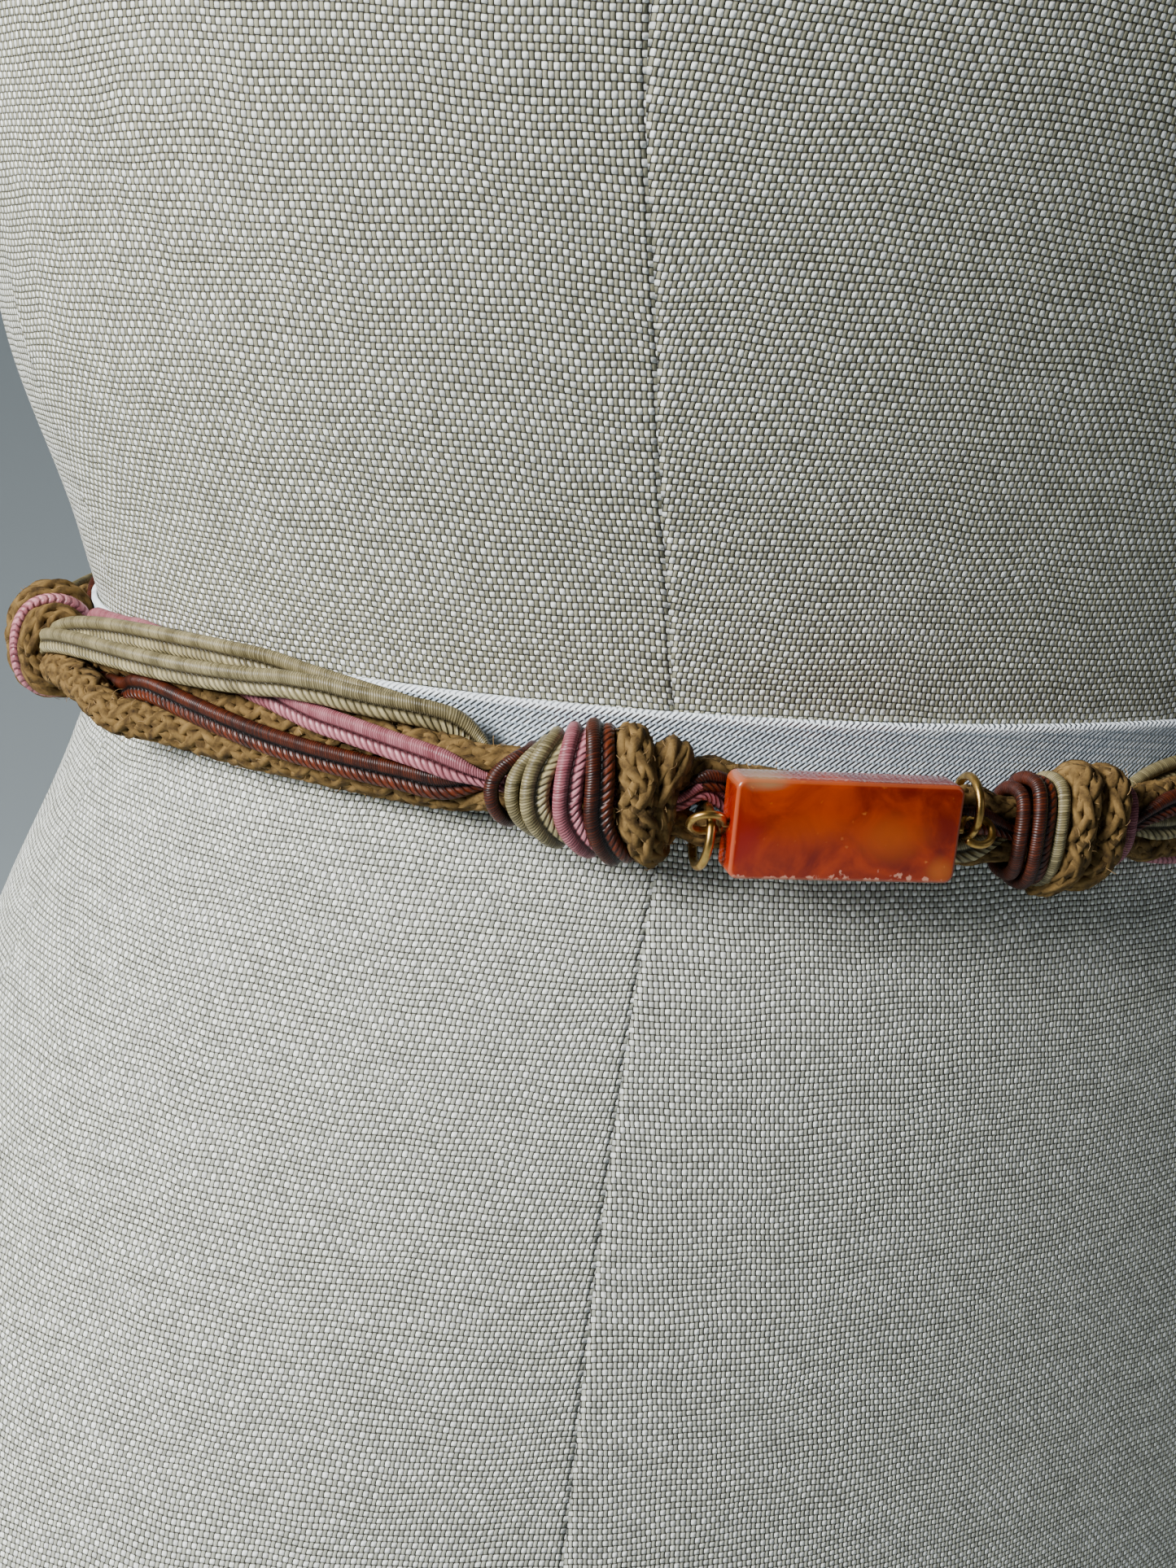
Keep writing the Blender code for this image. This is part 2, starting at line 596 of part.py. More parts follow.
def bight_rings(end, slot_out):
    """The rope's turn beyond an end knot, from its upper run round to its lower one."""
    _, right = knot_reach(KNOTS[-1])
    edge = KNOT_AT[-1] + right
    up = ROPE_SLOT
    path = [(edge, up, KNOT_SQUEEZE), (BIGHT_AT - 3.0, BIGHT_RADIUS - 0.5, 0.86)]
    for turn in np.radians(np.linspace(90.0, -90.0, 9)):
        path.append((BIGHT_AT + BIGHT_RADIUS * math.cos(turn), BIGHT_RADIUS * math.sin(turn), 1.0))
    path += [(BIGHT_AT - 3.0, -BIGHT_RADIUS + 0.5, 0.86), (edge, -up, KNOT_SQUEEZE)]
    rings = []
    for k, (along, height, tight) in enumerate(path):
        before = path[max(k - 1, 0)]
        after = path[min(k + 1, len(path) - 1)]
        lean = math.atan2(after[1] - before[1], after[0] - before[0])
        if k in (0, len(path) - 1):
            lean = 0.0 if k == 0 else math.pi
        section = rope_section(tight)
        places = (along - section[:, 1] * math.sin(lean)) * end
        heights = height + section[:, 1] * math.cos(lean)
        rings.append(WAIST.place(places, slot_out + section[:, 0], WAIST_HEIGHT + heights))
    return rings


def make_rope(places, upper, lower, material):
    """The one tan rope: along the upper run, round the bight, back along the lower one and round again."""
    tight = squeeze(places)
    drop = belt_drop(places)
    there = []
    back = []
    for k, along in enumerate(places):
        section = rope_section(tight[k])
        there.append(belt_ring(along, upper[k, 0], upper[k, 1] + drop[k], section))
        back.append(belt_ring(along, lower[k, 0], lower[k, 1] + drop[k], section * (1, -1)))
    right = bight_rings(1, KNOT_OUT)[1:-1]
    left = bight_rings(-1, KNOT_OUT)[1:-1]
    return make_object("tan_rope", there + right + back[::-1] + left[::-1], material, closed=True)


def around(turn, front, top, back, bottom):
    """A value round a knot that takes the four given ones at its front, top, back and bottom."""
    ahead, above = np.cos(turn), np.sin(turn)
    value = np.where(ahead > 0, front, back) * ahead**2
    return value + np.where(above > 0, top, bottom) * above**2


def hollow_curve(turn, half_depth, half_height):
    """The knots' rounded outline, out and up."""
    ahead, above = np.cos(turn), np.sin(turn)
    power = 2 / KNOT_ROUNDNESS
    return np.stack(
        [half_depth * np.sign(ahead) * np.abs(ahead) ** power, half_height * np.sign(above) * np.abs(above) ** power],
        -1,
    )


def make_turn(knot, name, left, right, depth, height, material):
    """One turn of a knot: a ring round the cords that slants as its two edges do."""
    turn = np.arange(12) / 12 * math.tau
    start = around(turn, *left) + SEAM_GAP / 2
    end = around(turn, *right) - SEAM_GAP / 2
    inner = hollow_curve(turn, *KNOT_HOLLOW)
    outer = hollow_curve(turn, depth, height)
    shoulder = inner + (outer - inner) * 0.55
    span = end - start
    loops = (
        (start, inner),
        (start, shoulder),
        (start + span * 0.5, outer),
        (end, shoulder),
        (end, inner),
    )
    middle = WAIST_HEIGHT + knot[2]
    rings = [WAIST.place(knot[1] + along, KNOT_OUT + flat[:, 0], middle + flat[:, 1]) for along, flat in loops]
    return make_object(f"{knot[0]}_{name}", rings, material, closed=True)


def tube(name, path, radius, material, closed=False, sides=6, upright=(0.0, 0.0, 1.0)):
    """A round wire along a path."""
    path = np.asarray(path)
    rings = []
    for k, point in enumerate(path):
        before = path[k - 1] if closed or k else path[0]
        after = path[(k + 1) % len(path)] if closed or k < len(path) - 1 else path[-1]
        onward = (after - before) / np.linalg.norm(after - before)
        across = np.cross(onward, upright)
        across /= np.linalg.norm(across)
        over = np.cross(across, onward)
        turn = np.arange(sides) / sides * math.tau
        rings.append(point + radius * (np.cos(turn)[:, None] * across + np.sin(turn)[:, None] * over))
    return make_object(name, rings, material, closed=closed)


def make_ring(row, material):
    """A jump ring, closed, round its cord and through the eye of the stone's wire."""
    along, out, up = ring_middle(row)
    middle, onward, outward, upward = local_axes(along)
    middle = middle + outward * out + upward * up
    turn, tip = math.radians(row[3]), math.radians(row[4])
    first = outward * math.cos(turn) + onward * math.sin(turn)
    second = upward * math.cos(tip) + np.cross(first, upward) * math.sin(tip)
    path = []
    for angle in np.arange(16) / 16 * math.tau:
        path.append(middle + RING_RADIUS * (math.cos(angle) * first + math.sin(angle) * second))
    return tube(row[0], path, RING_WIRE / 2, material, closed=True, upright=np.cross(first, second))


def make_stone(material):
    """The stone: a flat bar with bevelled edges and a bore from end to end."""
    middle, onward, outward, upward = stone_axes()
    rings = []
    for along, shrink in (
        (-STONE_LENGTH / 2, STONE_BEVEL),
        (-STONE_LENGTH / 2 + STONE_BEVEL, 0.0),
        (STONE_LENGTH / 2 - STONE_BEVEL, 0.0),
        (STONE_LENGTH / 2, STONE_BEVEL),
    ):
        deep = STONE_DEPTH / 2 - shrink
        high = STONE_HEIGHT / 2 - shrink
        cut = STONE_BEVEL * 0.9
        quarter = [(deep, high - cut), (deep - cut, high)]
        section = [(deep, 0.0), *quarter, (0.0, high)]
        section += [(-x, y) for x, y in quarter[::-1]]
        section += [(-x, -y) for x, y in section]
        rings.append([middle + onward * along + outward * x + upward * y for x, y in section])
    for along in (STONE_LENGTH / 2, -STONE_LENGTH / 2):
        bore = []
        for turn in np.arange(12) / 12 * math.tau:
            flat = outward * math.cos(turn) + upward * math.sin(turn)
            bore.append(middle + onward * along + flat * STONE_BORE / 2)
        rings.append(bore)
    return make_object("stone", rings, material, closed=True)


def make_stone_wire(material):
    """The wire through the stone's bore, bent to an eye at each end."""
    middle, onward, outward, upward = stone_axes()
    slant = math.radians(45.0)
    path = []
    for end in (-1, 1):
        centre = eye_middle(end)
        rise = upward * math.cos(slant) - outward * math.sin(slant) * end
        eye = []
        for angle in np.radians(np.linspace(0.0, 310.0, 11)):
            eye.append(centre - end * onward * EYE_RADIUS * math.cos(angle) + rise * EYE_RADIUS * math.sin(angle))
        mouth = middle + onward * end * (STONE_LENGTH / 2 + SEAM_GAP)
        path += [*eye[::-1], mouth] if end < 0 else [mouth, *eye]
    return tube("stone_wire", path, EYE_WIRE / 2, material, upright=outward)


def make_hook(material):
    """The S-shaped wire hook that goes through the rope's bight at both ends of the belt."""
    radius = ROPE_DIAMETER / 2 + CORD_GAP + HOOK_WIRE / 2 + 0.25
    half = WAIST.half()
    offset = half - BIGHT_AT - BIGHT_RADIUS
    path = []
    for end, start, stop in ((-1, -35.0, -270.0), (1, -90.0, 145.0)):
        for angle in np.radians(np.linspace(start, stop, 11)):
            along = half + end * offset + radius * math.cos(angle)
            path.append(WAIST.place(along, KNOT_OUT + radius * math.sin(angle), WAIST_HEIGHT))
    return tube("hook", path, HOOK_WIRE / 2, material)


def main():
    for thing in list(bpy.data.objects):
        bpy.data.objects.remove(thing, do_unlink=True)
    make_form(make_material("form_linen", (0.42, 0.42, 0.38), 0.9))
    make_tape(make_material("tape_twill", (0.36, 0.42, 0.46), 0.85))
    places = belt_stations(STATION_STEP)
    lies = make_room(places, lay_targets(places))
    colours = {
        "tan": (0.36, 0.22, 0.1),
        "champagne": (0.42, 0.37, 0.3),
        "pink": (0.5, 0.2, 0.19),
        "brown": (0.05, 0.022, 0.014),
    }
    cords = dict(zip(CORDS, lies))
    make_rope(places, cords["tan_upper"], cords["tan_lower"], make_material("tan_rope_cotton", colours["tan"], 0.9))
    for cord in CORDS[2:]:
        tone = colours[cord.split("_")[0]]
        make_braid(cord, places, cords[cord], make_material(f"{cord}_silk", tone, 0.55))
    for knot in KNOTS:
        names, edges, sizes = knot_edges(knot)
        for k, name in enumerate(names):
            tone = colours[name.split("_")[0]]
            material = make_material(f"{knot[0]}_{name}_yarn", tone, 0.7)
            make_turn(knot, name, edges[k], edges[k + 1], *sizes[k], material)
    make_stone(make_material("stone_agate", (0.3, 0.04, 0.005), 0.2))
    make_stone_wire(make_material("stone_wire_brass", (0.6, 0.4, 0.16), 0.3, 1.0))
    for row in RINGS:
        make_ring(row, make_material(f"{row[0]}_brass", (0.6, 0.4, 0.16), 0.3, 1.0))
    make_hook(make_material("hook_brass", (0.6, 0.4, 0.16), 0.3, 1.0))


main()
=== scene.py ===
"""Dresses the rope belt and its dress form: linen, tape, plaited rope, silk braid, agate and brass wire.

Lengths are in millimetres and are turned to metres when a mesh is made. The form's front looks along -Y. The
belt's middle line runs round the waist and is measured from the centre front to the wearer's left.
"""

import math
from collections import namedtuple

import bmesh
import bpy
import numpy as np
from mathutils import Matrix


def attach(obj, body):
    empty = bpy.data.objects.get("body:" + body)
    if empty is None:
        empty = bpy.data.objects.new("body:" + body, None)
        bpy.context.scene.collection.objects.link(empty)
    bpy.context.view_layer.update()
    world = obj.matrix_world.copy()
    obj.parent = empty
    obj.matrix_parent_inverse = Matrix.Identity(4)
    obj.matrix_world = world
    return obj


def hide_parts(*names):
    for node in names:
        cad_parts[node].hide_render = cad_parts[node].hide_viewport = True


MM = 0.001
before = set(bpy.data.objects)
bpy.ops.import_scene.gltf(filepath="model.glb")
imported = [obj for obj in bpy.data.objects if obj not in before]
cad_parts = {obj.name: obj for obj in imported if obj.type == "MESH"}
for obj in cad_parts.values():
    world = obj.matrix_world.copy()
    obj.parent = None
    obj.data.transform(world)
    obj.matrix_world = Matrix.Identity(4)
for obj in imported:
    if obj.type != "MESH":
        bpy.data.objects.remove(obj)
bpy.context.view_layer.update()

WAIST_HEIGHT = 300.0
TAPE_TOP = 306.5
TAPE_WIDTH = 14.0
TAPE_THICKNESS = 1.0
TAPE_GAP = 0.3
TAPE_COLUMNS = 360

# The tape's section, from its lower edge up its outer face: how far out from the form and how far up.
TAPE_SECTION = ((0.15, 0.0), (TAPE_GAP, 0.0), (0.8, 0.12), (0.95, 0.5), (1.0, 1.2), (1.0, 4.0), (1.0, 7.0))
TAPE_SECTION += ((1.0, 10.0), (1.0, 12.6), (1.12, 13.3), (0.95, 13.88), (TAPE_GAP, 14.0), (0.15, 14.0))

ROPE_DIAMETER = 5.0
BRAID_THICKNESS = 1.8
ROPE_RADIUS_PRESSED = 2.3
RIDGE_RADIUS_PRESSED = 0.86
CONTACT = 0.05
STATION_STEP = 4.0
FINE_STEP = 1.0
MOST_SPREAD = 9.0
KNOT_OUT = 7.3
ROOM_ROUNDS = 260
SETTLE_AFTER = 156
PULL_BACK = 0.06
SKIN_EVERY = 5
PUSH = 0.8
BIGHT_AT = 337.0
BIGHT_RADIUS = 4.3

KNOT_SQUEEZE = 0.55
KNOT_SQUEEZE_RUN = 5.0
KNOT_MARGIN = 1.5
STONE_SQUEEZE = 0.62
STONE_SQUEEZE_RUN = 4.0
KNOT_ROUNDNESS = 2.3
RIDGE_RADIUS = 0.9
RIDGE_SHIFT = 0.88
RIDGE_CORNERS = (90, 50, 10, -30, -60)
CREASE_SHARE = 0.62
WRAP_LEAN = 16.0
WRAP_ROPE_SIZE = 0.95
WRAP_POINTS = 64
WRAP_ROPE_POINTS = 96
RIDGE_SIDES = 10
WIRE_SIDES = 14

YARNS = 6
PLAIT_STEP = 0.6
PLAIT_PITCH = 17.0
PLAIT_RADIUS = 1.75
PLAIT_WAVE = 0.13
YARN_RADIUS = 0.82
PLAIT_UNEVENNESS = 0.32

# Cloth and yarn. The linen's yarns lie as far apart as in the photo. The tape's twill, the silk's stitches
# and its fine winding are coarser than the real ones, so that they show in a render of this size.
WARP_PITCH = 0.65
WEFT_PITCH = 0.79
WARP_HEIGHT = 0.72
PUCKER_PITCH = 3.1
TWILL_SLANT = 38.0
TWILL_FLOAT = 1.5
TWILL_PITCH = 0.52
PLY_PITCH = 2.2
STITCH_SLANT = 0.9
STITCH_PITCH = 0.95
WINDING_SLANT = 0.22
WINDING_PITCH = 0.30
FIBRES_PER_MM2 = 0.09
FIBRE_LENGTH = 1.1
FIBRE_RADIUS = 0.03

# Where the agate's colour changes: the middle of the patch from the face's lower left corner, its reach, its
# colour and how much of it there is.
AGATE_ZONES = (
    ((19.0, 5.6), (5.5, 3.4), "#b24e00", 0.55),
    ((9.5, 6.5), (6.0, 3.0), "#a83c00", 0.5),
    ((0.8, 4.5), (3.4, 5.0), "#821308", 0.9),
    ((3.2, 12.0), (4.0, 1.5), "#957a55", 0.7),
    ((25.8, 1.6), (2.2, 2.0), "#c4691c", 0.5),
)

# Kinds of node, and the settings that many of them share.
MATH = "ShaderNodeMath"
VECTOR_MATH = "ShaderNodeVectorMath"
MAP_RANGE = "ShaderNodeMapRange"
MIX = "ShaderNodeMix"
SPLIT = "ShaderNodeSeparateXYZ"
NOISE = "ShaderNodeTexNoise"
WHITE_NOISE = "ShaderNodeTexWhiteNoise"
COORDINATES = "ShaderNodeTexCoord"
ATTRIBUTE = "ShaderNodeAttribute"
STORE = "GeometryNodeStoreNamedAttribute"
STORED = "GeometryNodeInputNamedAttribute"
CIRCLE = "GeometryNodeCurvePrimitiveCircle"
SMOOTH = {"interpolation_type": "SMOOTHSTEP"}
COLOUR = {"output": 2, "data_type": "RGBA"}

BACKDROP = "#bfc9cc"
SKY = "#c8d0d6"
SKY_STRENGTH = 0.04
LAMP_SPREAD = 70.0
LIGHTS_AIM = (0.0, 0.0, 300.0)

# The lamps: name, place, width and height, power in watts and colour.
LIGHTS = (
    ("window", (-1800.0, -50.0, 1150.0), (800.0, 800.0), 19.0, "#fbfdff"),
    ("fill", (900.0, -1800.0, 700.0), (1200.0, 1000.0), 0.4, "#eef3ff"),
)

# The floor and the wall behind: half their width, the start of the floor and of the wall's bend, the bend's
# radius, and the wall's top.
STAGE_HALF_WIDTH = 3200.0
FLOOR_START = -2600.0
BEND_START = 750.0
BEND_RADIUS = 500.0
WALL_TOP = 3200.0

STONE_LENGTH = 27.4
STONE_HEIGHT = 12.2
STONE_LEFT_EXTRA = 0.7
STONE_DEPTH = 5.2
STONE_CORNER = 1.2
STONE_RIM = 0.5
STONE_AT = -61.3
STONE_DROP = -4.2
STONE_OUT = 10.2
EYE_RADIUS = 2.0
EYE_GAP = 1.2
EYE_SLANT = 45.0
EYE_TURN = 320.0
EYE_WIRE = 1.0
WIRE_IN_BORE = 0.4
RING_RADIUS = 3.65
RING_WIRE = 1.1
HOOK_WIRE = 1.2
HOOK_RADIUS = ROPE_DIAMETER / 2 + HOOK_WIRE / 2 + 0.75

# The form's level sections, from its base up: height, half width to each side, depth to the front and to the
# back of its axis, and squareness, 2 being an ellipse.
FORM_SECTIONS = (
    (0.0, 159.0, 97.0, 108.0, 2.15),
    (50.0, 167.0, 102.0, 116.0, 2.15),
    (105.0, 171.0, 106.0, 122.0, 2.15),
    (165.0, 164.0, 105.0, 115.0, 2.12),
    (220.0, 149.0, 100.0, 102.0, 2.08),
    (260.0, 134.0, 95.5, 94.0, 2.02),
    (285.0, 123.2, 91.8, 91.2, 2.0),
    (300.0, 118.7, 90.7, 90.4, 2.0),
    (315.0, 122.3, 91.6, 91.2, 2.0),
    (345.0, 133.2, 96.0, 94.5, 2.02),
    (385.0, 140.0, 106.0, 99.0, 2.05),
    (430.0, 145.0, 117.0, 104.0, 2.1),
    (470.0, 149.0, 122.0, 108.0, 2.15),
    (510.0, 153.0, 117.0, 110.0, 2.2),
    (560.0, 161.0, 101.0, 108.0, 2.25),
    (610.0, 175.0, 82.0, 99.0, 2.3),
    (645.0, 184.0, 69.0, 87.0, 2.3),
    (665.0, 186.0, 62.0, 77.0, 2.3),
    (682.0, 177.5, 58.0, 70.0, 2.2),
    (695.0, 153.0, 56.0, 65.0, 2.15),
    (706.0, 118.0, 54.5, 61.0, 2.1),
    (718.0, 84.0, 54.0, 58.5, 2.0),
    (730.0, 66.0, 54.0, 57.0, 2.0),
    (745.0, 60.5, 54.0, 56.0, 2.0),
    (765.0, 60.0, 54.0, 56.0, 2.0),
)
NECK_TOP = 765.0

# The form's mesh: from each height to the next in steps of this size, and how many columns each panel has.
FORM_ROWS = ((0.0, 220.0, 7.0), (220.0, 400.0, 2.5), (400.0, NECK_TOP, 6.0))
PANEL_COLUMNS = (18, 16, 16, 40, 16, 16, 18)
PANELS_APART = 300.0
FAR_FROM_SEAMS = 50.0
NECK_CLOSE_CLOTH = 60.0

# How the neck closes: height above the last section and the share of its size there.
NECK_CLOSE = ((1.0, 0.995), (2.5, 0.97), (4.2, 0.91), (5.2, 0.84), (5.8, 0.7), (6.0, 0.5), (6.0, 0.2))

# Where the cover's seams run: a height, and the share of the half width at which the seams over the bust and
# the shoulder blades lie there. The side seams are at the full width and one more is at the centre back.
SEAM_RUN = (
    (0.0, 0.50, 0.46),
    (200.0, 0.577, 0.50),
    (300.0, 0.622, 0.52),
    (345.0, 0.632, 0.54),
    (382.0, 0.664, 0.56),
    (440.0, 0.63, 0.58),
    (480.0, 0.59, 0.58),
    (600.0, 0.52, 0.54),
    (765.0, 0.50, 0.50),
)

CORDS = ("tan_upper", "tan_lower", "champagne_upper", "champagne_lower", "pink", "brown")
ROPE_SLOT = 2.45
BRAID_SLOTS = (-2.04, -0.68, 0.68, 2.04)
REAR_ORDER = ("pink", "brown", "champagne_upper", "champagne_lower")
FRONT_ORDER = ("champagne_upper", "champagne_lower", "brown", "pink")
EVEN_ORDER = ("pink", "champagne_upper", "champagne_lower", "brown")

# Where each knot is tied, how far the belt's middle line lies above the waist there, how far the knot
# reaches to its left and right, and the order of the braids inside it, from the form outwards.
Knot = namedtuple("Knot", "name at drop left right kind mirrored order")
KNOTS = (
    Knot("knot_1", -317.6, 0.0, -10.4, 13.1, "wide", True, REAR_ORDER),
    Knot("knot_2", -196.0, -1.0, -7.8, 9.6, "pink", True, REAR_ORDER),
    Knot("knot_3", -90.2, -2.5, -13.1, 10.4, "wide", False, FRONT_ORDER),
    Knot("knot_4", -29.4, -5.5, -9.8, 9.8, "tan", False, EVEN_ORDER),
    Knot("knot_5", 86.3, -3.5, -7.8, 9.6, "pink", True, EVEN_ORDER),
    Knot("knot_6", 202.0, -1.5, -10.4, 13.1, "wide", True, EVEN_ORDER),
    Knot("knot_7", 317.6, 0.0, -9.8, 9.8, "tan", True, EVEN_ORDER),
)

# The ways that the cords lie between knots: for each cord, how far out from the form and how far above the
# belt's middle line it lies, at these shares of the way from one knot to the next.
LAY_STATIONS = (0.16, 0.30, 0.45, 0.60, 0.75, 0.87)
LAYS = {
    "fan": {
        "tan_upper": ((4.3, 3.4), (4.1, 3.2), (4.1, 2.9), (4.1, 2.5), (4.1, 2.7), (4.3, 2.4)),
        "tan_lower": ((8.2, 1.2), (8.0, 0.1), (5.6, -1.9), (4.1, -2.8), (4.1, -3.0), (4.3, -2.8)),
        "champagne_upper": ((5.4, 6.0), (5.0, 7.9), (4.6, 8.6), (4.4, 8.1), (4.4, 6.8), (3.4, 5.6)),
        "champagne_lower": ((8.0, 4.4), (7.6, 5.2), (7.4, 5.6), (7.4, 6.6), (6.2, 6.2), (4.6, 5.2)),
        "pink": ((3.0, 6.2), (2.8, 6.4), (3.0, 6.6), (5.6, 5.4), (8.0, 2.8), (8.0, 0.0)),
        "brown": ((4.2, -0.8), (4.6, 0.6), (7.4, 1.9), (8.0, -0.4), (7.6, -1.4), (7.0, -1.6)),
    },
    "rear": {
        "tan_upper": ((4.4, 2.8), (4.1, 3.0), (4.1, 3.1), (4.1, 3.0), (4.1, 2.8), (4.4, 2.7)),
        "tan_lower": ((4.4, -2.7), (4.1, -2.6), (4.1, -2.5), (4.1, -2.6), (4.1, -2.7), (4.4, -2.7)),
        "champagne_upper": ((7.2, 3.0), (7.4, 3.6), (7.6, 4.0), (7.6, 4.0), (7.4, 3.6), (7.2, 3.0)),
        "champagne_lower": ((8.0, -0.4), (7.6, 0.0), (7.4, 0.0), (7.4, -0.2), (7.6, -0.6), (8.0, -0.6)),
        "pink": ((3.4, -5.6), (3.0, -6.6), (2.9, -6.8), (2.9, -6.7), (3.0, -6.4), (3.4, -5.2)),
        "brown": ((3.4, 6.0), (3.0, 7.2), (2.9, 7.6), (2.9, 7.6), (3.0, 7.0), (3.4, 5.4)),
    },
    "even": {
        "tan_upper": ((4.4, 2.8), (4.1, 2.9), (4.1, 3.1), (4.1, 3.0), (4.1, 2.8), (4.4, 2.7)),
        "tan_lower": ((4.6, -3.4), (4.1, -3.0), (4.1, -2.5), (4.1, -2.6), (4.1, -2.7), (4.4, -2.7)),
        "champagne_upper": ((3.4, 5.6), (3.0, 7.2), (2.9, 7.9), (2.9, 7.6), (3.0, 7.0), (3.4, 5.6)),
        "champagne_lower": ((7.6, 0.5), (7.4, 0.0), (7.4, -0.8), (7.4, -0.4), (7.4, -0.2), (7.4, 0.2)),
        "pink": ((3.4, -5.6), (3.0, -6.6), (2.9, -6.8), (2.9, -6.7), (3.0, -6.4), (3.4, -5.2)),
        "brown": ((8.0, 3.9), (7.6, 3.9), (7.4, 3.4), (7.6, 3.8), (7.6, 3.8), (8.0, 3.4)),
    },
    "stone": {
        "tan_upper": ((4.6, 3.6), (3.3, 2.8), (3.1, 2.6), (3.2, 2.6), (5.8, 3.2), (6.8, 3.0)),
        "tan_lower": ((6.2, -4.8), (5.0, -4.0), (3.1, -2.6), (3.1, -2.8), (3.6, -4.0), (5.0, -3.6)),
        "champagne_upper": ((4.0, 0.8), (2.6, 0.4), (2.4, 0.0), (2.4, 0.0), (3.0, -1.4), (5.0, -1.0)),
        "champagne_lower": ((6.0, 0.6), (4.6, 0.4), (4.4, 0.0), (4.4, 0.0), (5.0, -2.4), (6.8, -2.0)),
        "pink": ((8.2, -2.0), (6.6, -2.6), (6.2, -3.2), (6.0, -3.2), (3.0, -6.0), (4.0, -4.4)),
        "brown": ((8.8, 1.9), (6.8, 2.6), (6.2, 3.2), (6.4, 3.4), (7.6, 4.4), (8.4, 3.0)),
    },
}
SPAN_LAYS = ("rear", "fan", "stone", "even", "even", "even")

# The turns of each kind of knot, left to right: the cord, its form, where its middle lies at the front, top,
# back and bottom, how far out and up it reaches from the knot's middle, and the CAD node that it stands for.
Wrap = namedtuple("Wrap", "cord form front top back bottom depth height node")
WRAPS = {
    "wide": (
        Wrap("brown", "ridge", -12.0, -8.2, -9.0, -10.0, 3.9, 4.4, "brown_collar"),
        Wrap("champagne", "ridge", -9.6, -6.6, -7.0, -6.6, 4.0, 5.3, "champagne"),
        Wrap("champagne", "pair", -7.0, -4.6, -5.0, -3.2, 4.3, 6.2, "champagne"),
        Wrap("pink", "pair", -3.3, -2.6, -2.0, 0.6, 4.6, 7.0, "pink"),
        Wrap("brown", "pair", 0.2, -0.4, 1.0, 3.4, 4.9, 7.7, "brown"),
        Wrap("tan", "rope", 4.6, 3.4, 4.6, 6.6, 3.5, 6.2, "tan"),
        Wrap("tan", "rope", 6.8, 8.4, 9.0, 6.4, 2.0, 5.2, "tan_end"),
    ),
    "tan": (
        Wrap("brown", "ridge", -9.4, -8.4, -8.2, -8.4, 4.0, 5.4, "brown_collar"),
        Wrap("brown", "pair", -6.7, -5.6, -5.4, -5.6, 4.3, 6.4, "brown"),
        Wrap("champagne", "ridge", -4.2, -3.0, -3.2, -4.2, 4.4, 6.6, "champagne"),
        Wrap("tan", "rope", -1.2, 1.0, 0.6, -3.0, 3.6, 6.3, "tan"),
        Wrap("tan", "rope", 3.7, 5.4, 4.4, 1.6, 3.4, 5.8, "tan_end"),
        Wrap("pink", "ridge", 7.5, 8.4, 7.0, 5.6, 3.2, 4.9, "pink"),
    ),
    "pink": (
        Wrap("tan", "rope", -6.9, -5.8, -6.6, -7.4, 2.9, 4.5, "tan"),
        Wrap("pink", "pair", -3.3, -3.8, -2.4, -1.8, 5.2, 6.9, "pink"),
        Wrap("tan", "rope", 1.7, 0.2, 1.6, 2.8, 4.5, 7.0, "tan_end"),
        Wrap("champagne", "pair", 6.2, 5.4, 5.6, 5.4, 4.0, 5.2, "champagne"),
    ),
}

# The two rings that the stone hangs by: which end of the stone, the direction from the ring's middle to the
# stone's eye above the way out, how the ring is turned about the upright and tipped about the way out, and
# the cords that it goes round.
Ring = namedtuple("Ring", "name end towards_eye turn tip cords")
RINGS = (
    Ring("ring_left", -1, 42.0, 6.0, -6.0, ("tan_lower",)),
    Ring("ring_right", 1, -38.0, -6.0, 0.0, ("tan_upper", "brown")),
)

# The photograph: its size in pixels, the lens's length in the same pixels, and where the camera stands.
PHOTO_WIDTH = 1445
PHOTO_HEIGHT = 1927
LENS_PIXELS = 2000.0
SENSOR_WIDTH = 36.0
CAMERA_AT = (-192.3, -225.3, 347.3)
CAMERA_YAW = 34.5
CAMERA_DOWN = 14.7
CAMERA_ROLL = 4.9


def smooth_through(xs, ys, at):
    """The smooth curve through the points that never overshoots a row, read at the places asked for."""
    xs = np.asarray(xs, float)
    ys = np.asarray(ys, float)
    step = np.diff(xs)
    slope = np.diff(ys) / step
    tangent = np.zeros_like(ys)
    before = 2 * step[1:] + step[:-1]
    after = step[1:] + 2 * step[:-1]
    same = slope[:-1] * slope[1:] > 0
    inner = np.zeros(len(ys) - 2)
    inner[same] = (before + after)[same] / (before[same] / slope[:-1][same] + after[same] / slope[1:][same])
    tangent[1:-1] = inner
    tangent[0] = slope[0]
    tangent[-1] = slope[-1]
    at = np.asarray(at, float)
    row = np.clip(np.searchsorted(xs, at) - 1, 0, len(step) - 1)
    share = (at - xs[row]) / step[row]
    rest = 1 - share
    return (
        (1 + 2 * share) * rest**2 * ys[row]
        + share * rest**2 * step[row] * tangent[row]
        + share**2 * (3 - 2 * share) * ys[row + 1]
        + share**2 * (share - 1) * step[row] * tangent[row + 1]
    )


def form_section(height):
    """Half width, front depth, back depth and squareness of the form's level section."""
    rows = np.array(FORM_SECTIONS)
    return [smooth_through(rows[:, 0], rows[:, k], height) for k in range(1, 5)]


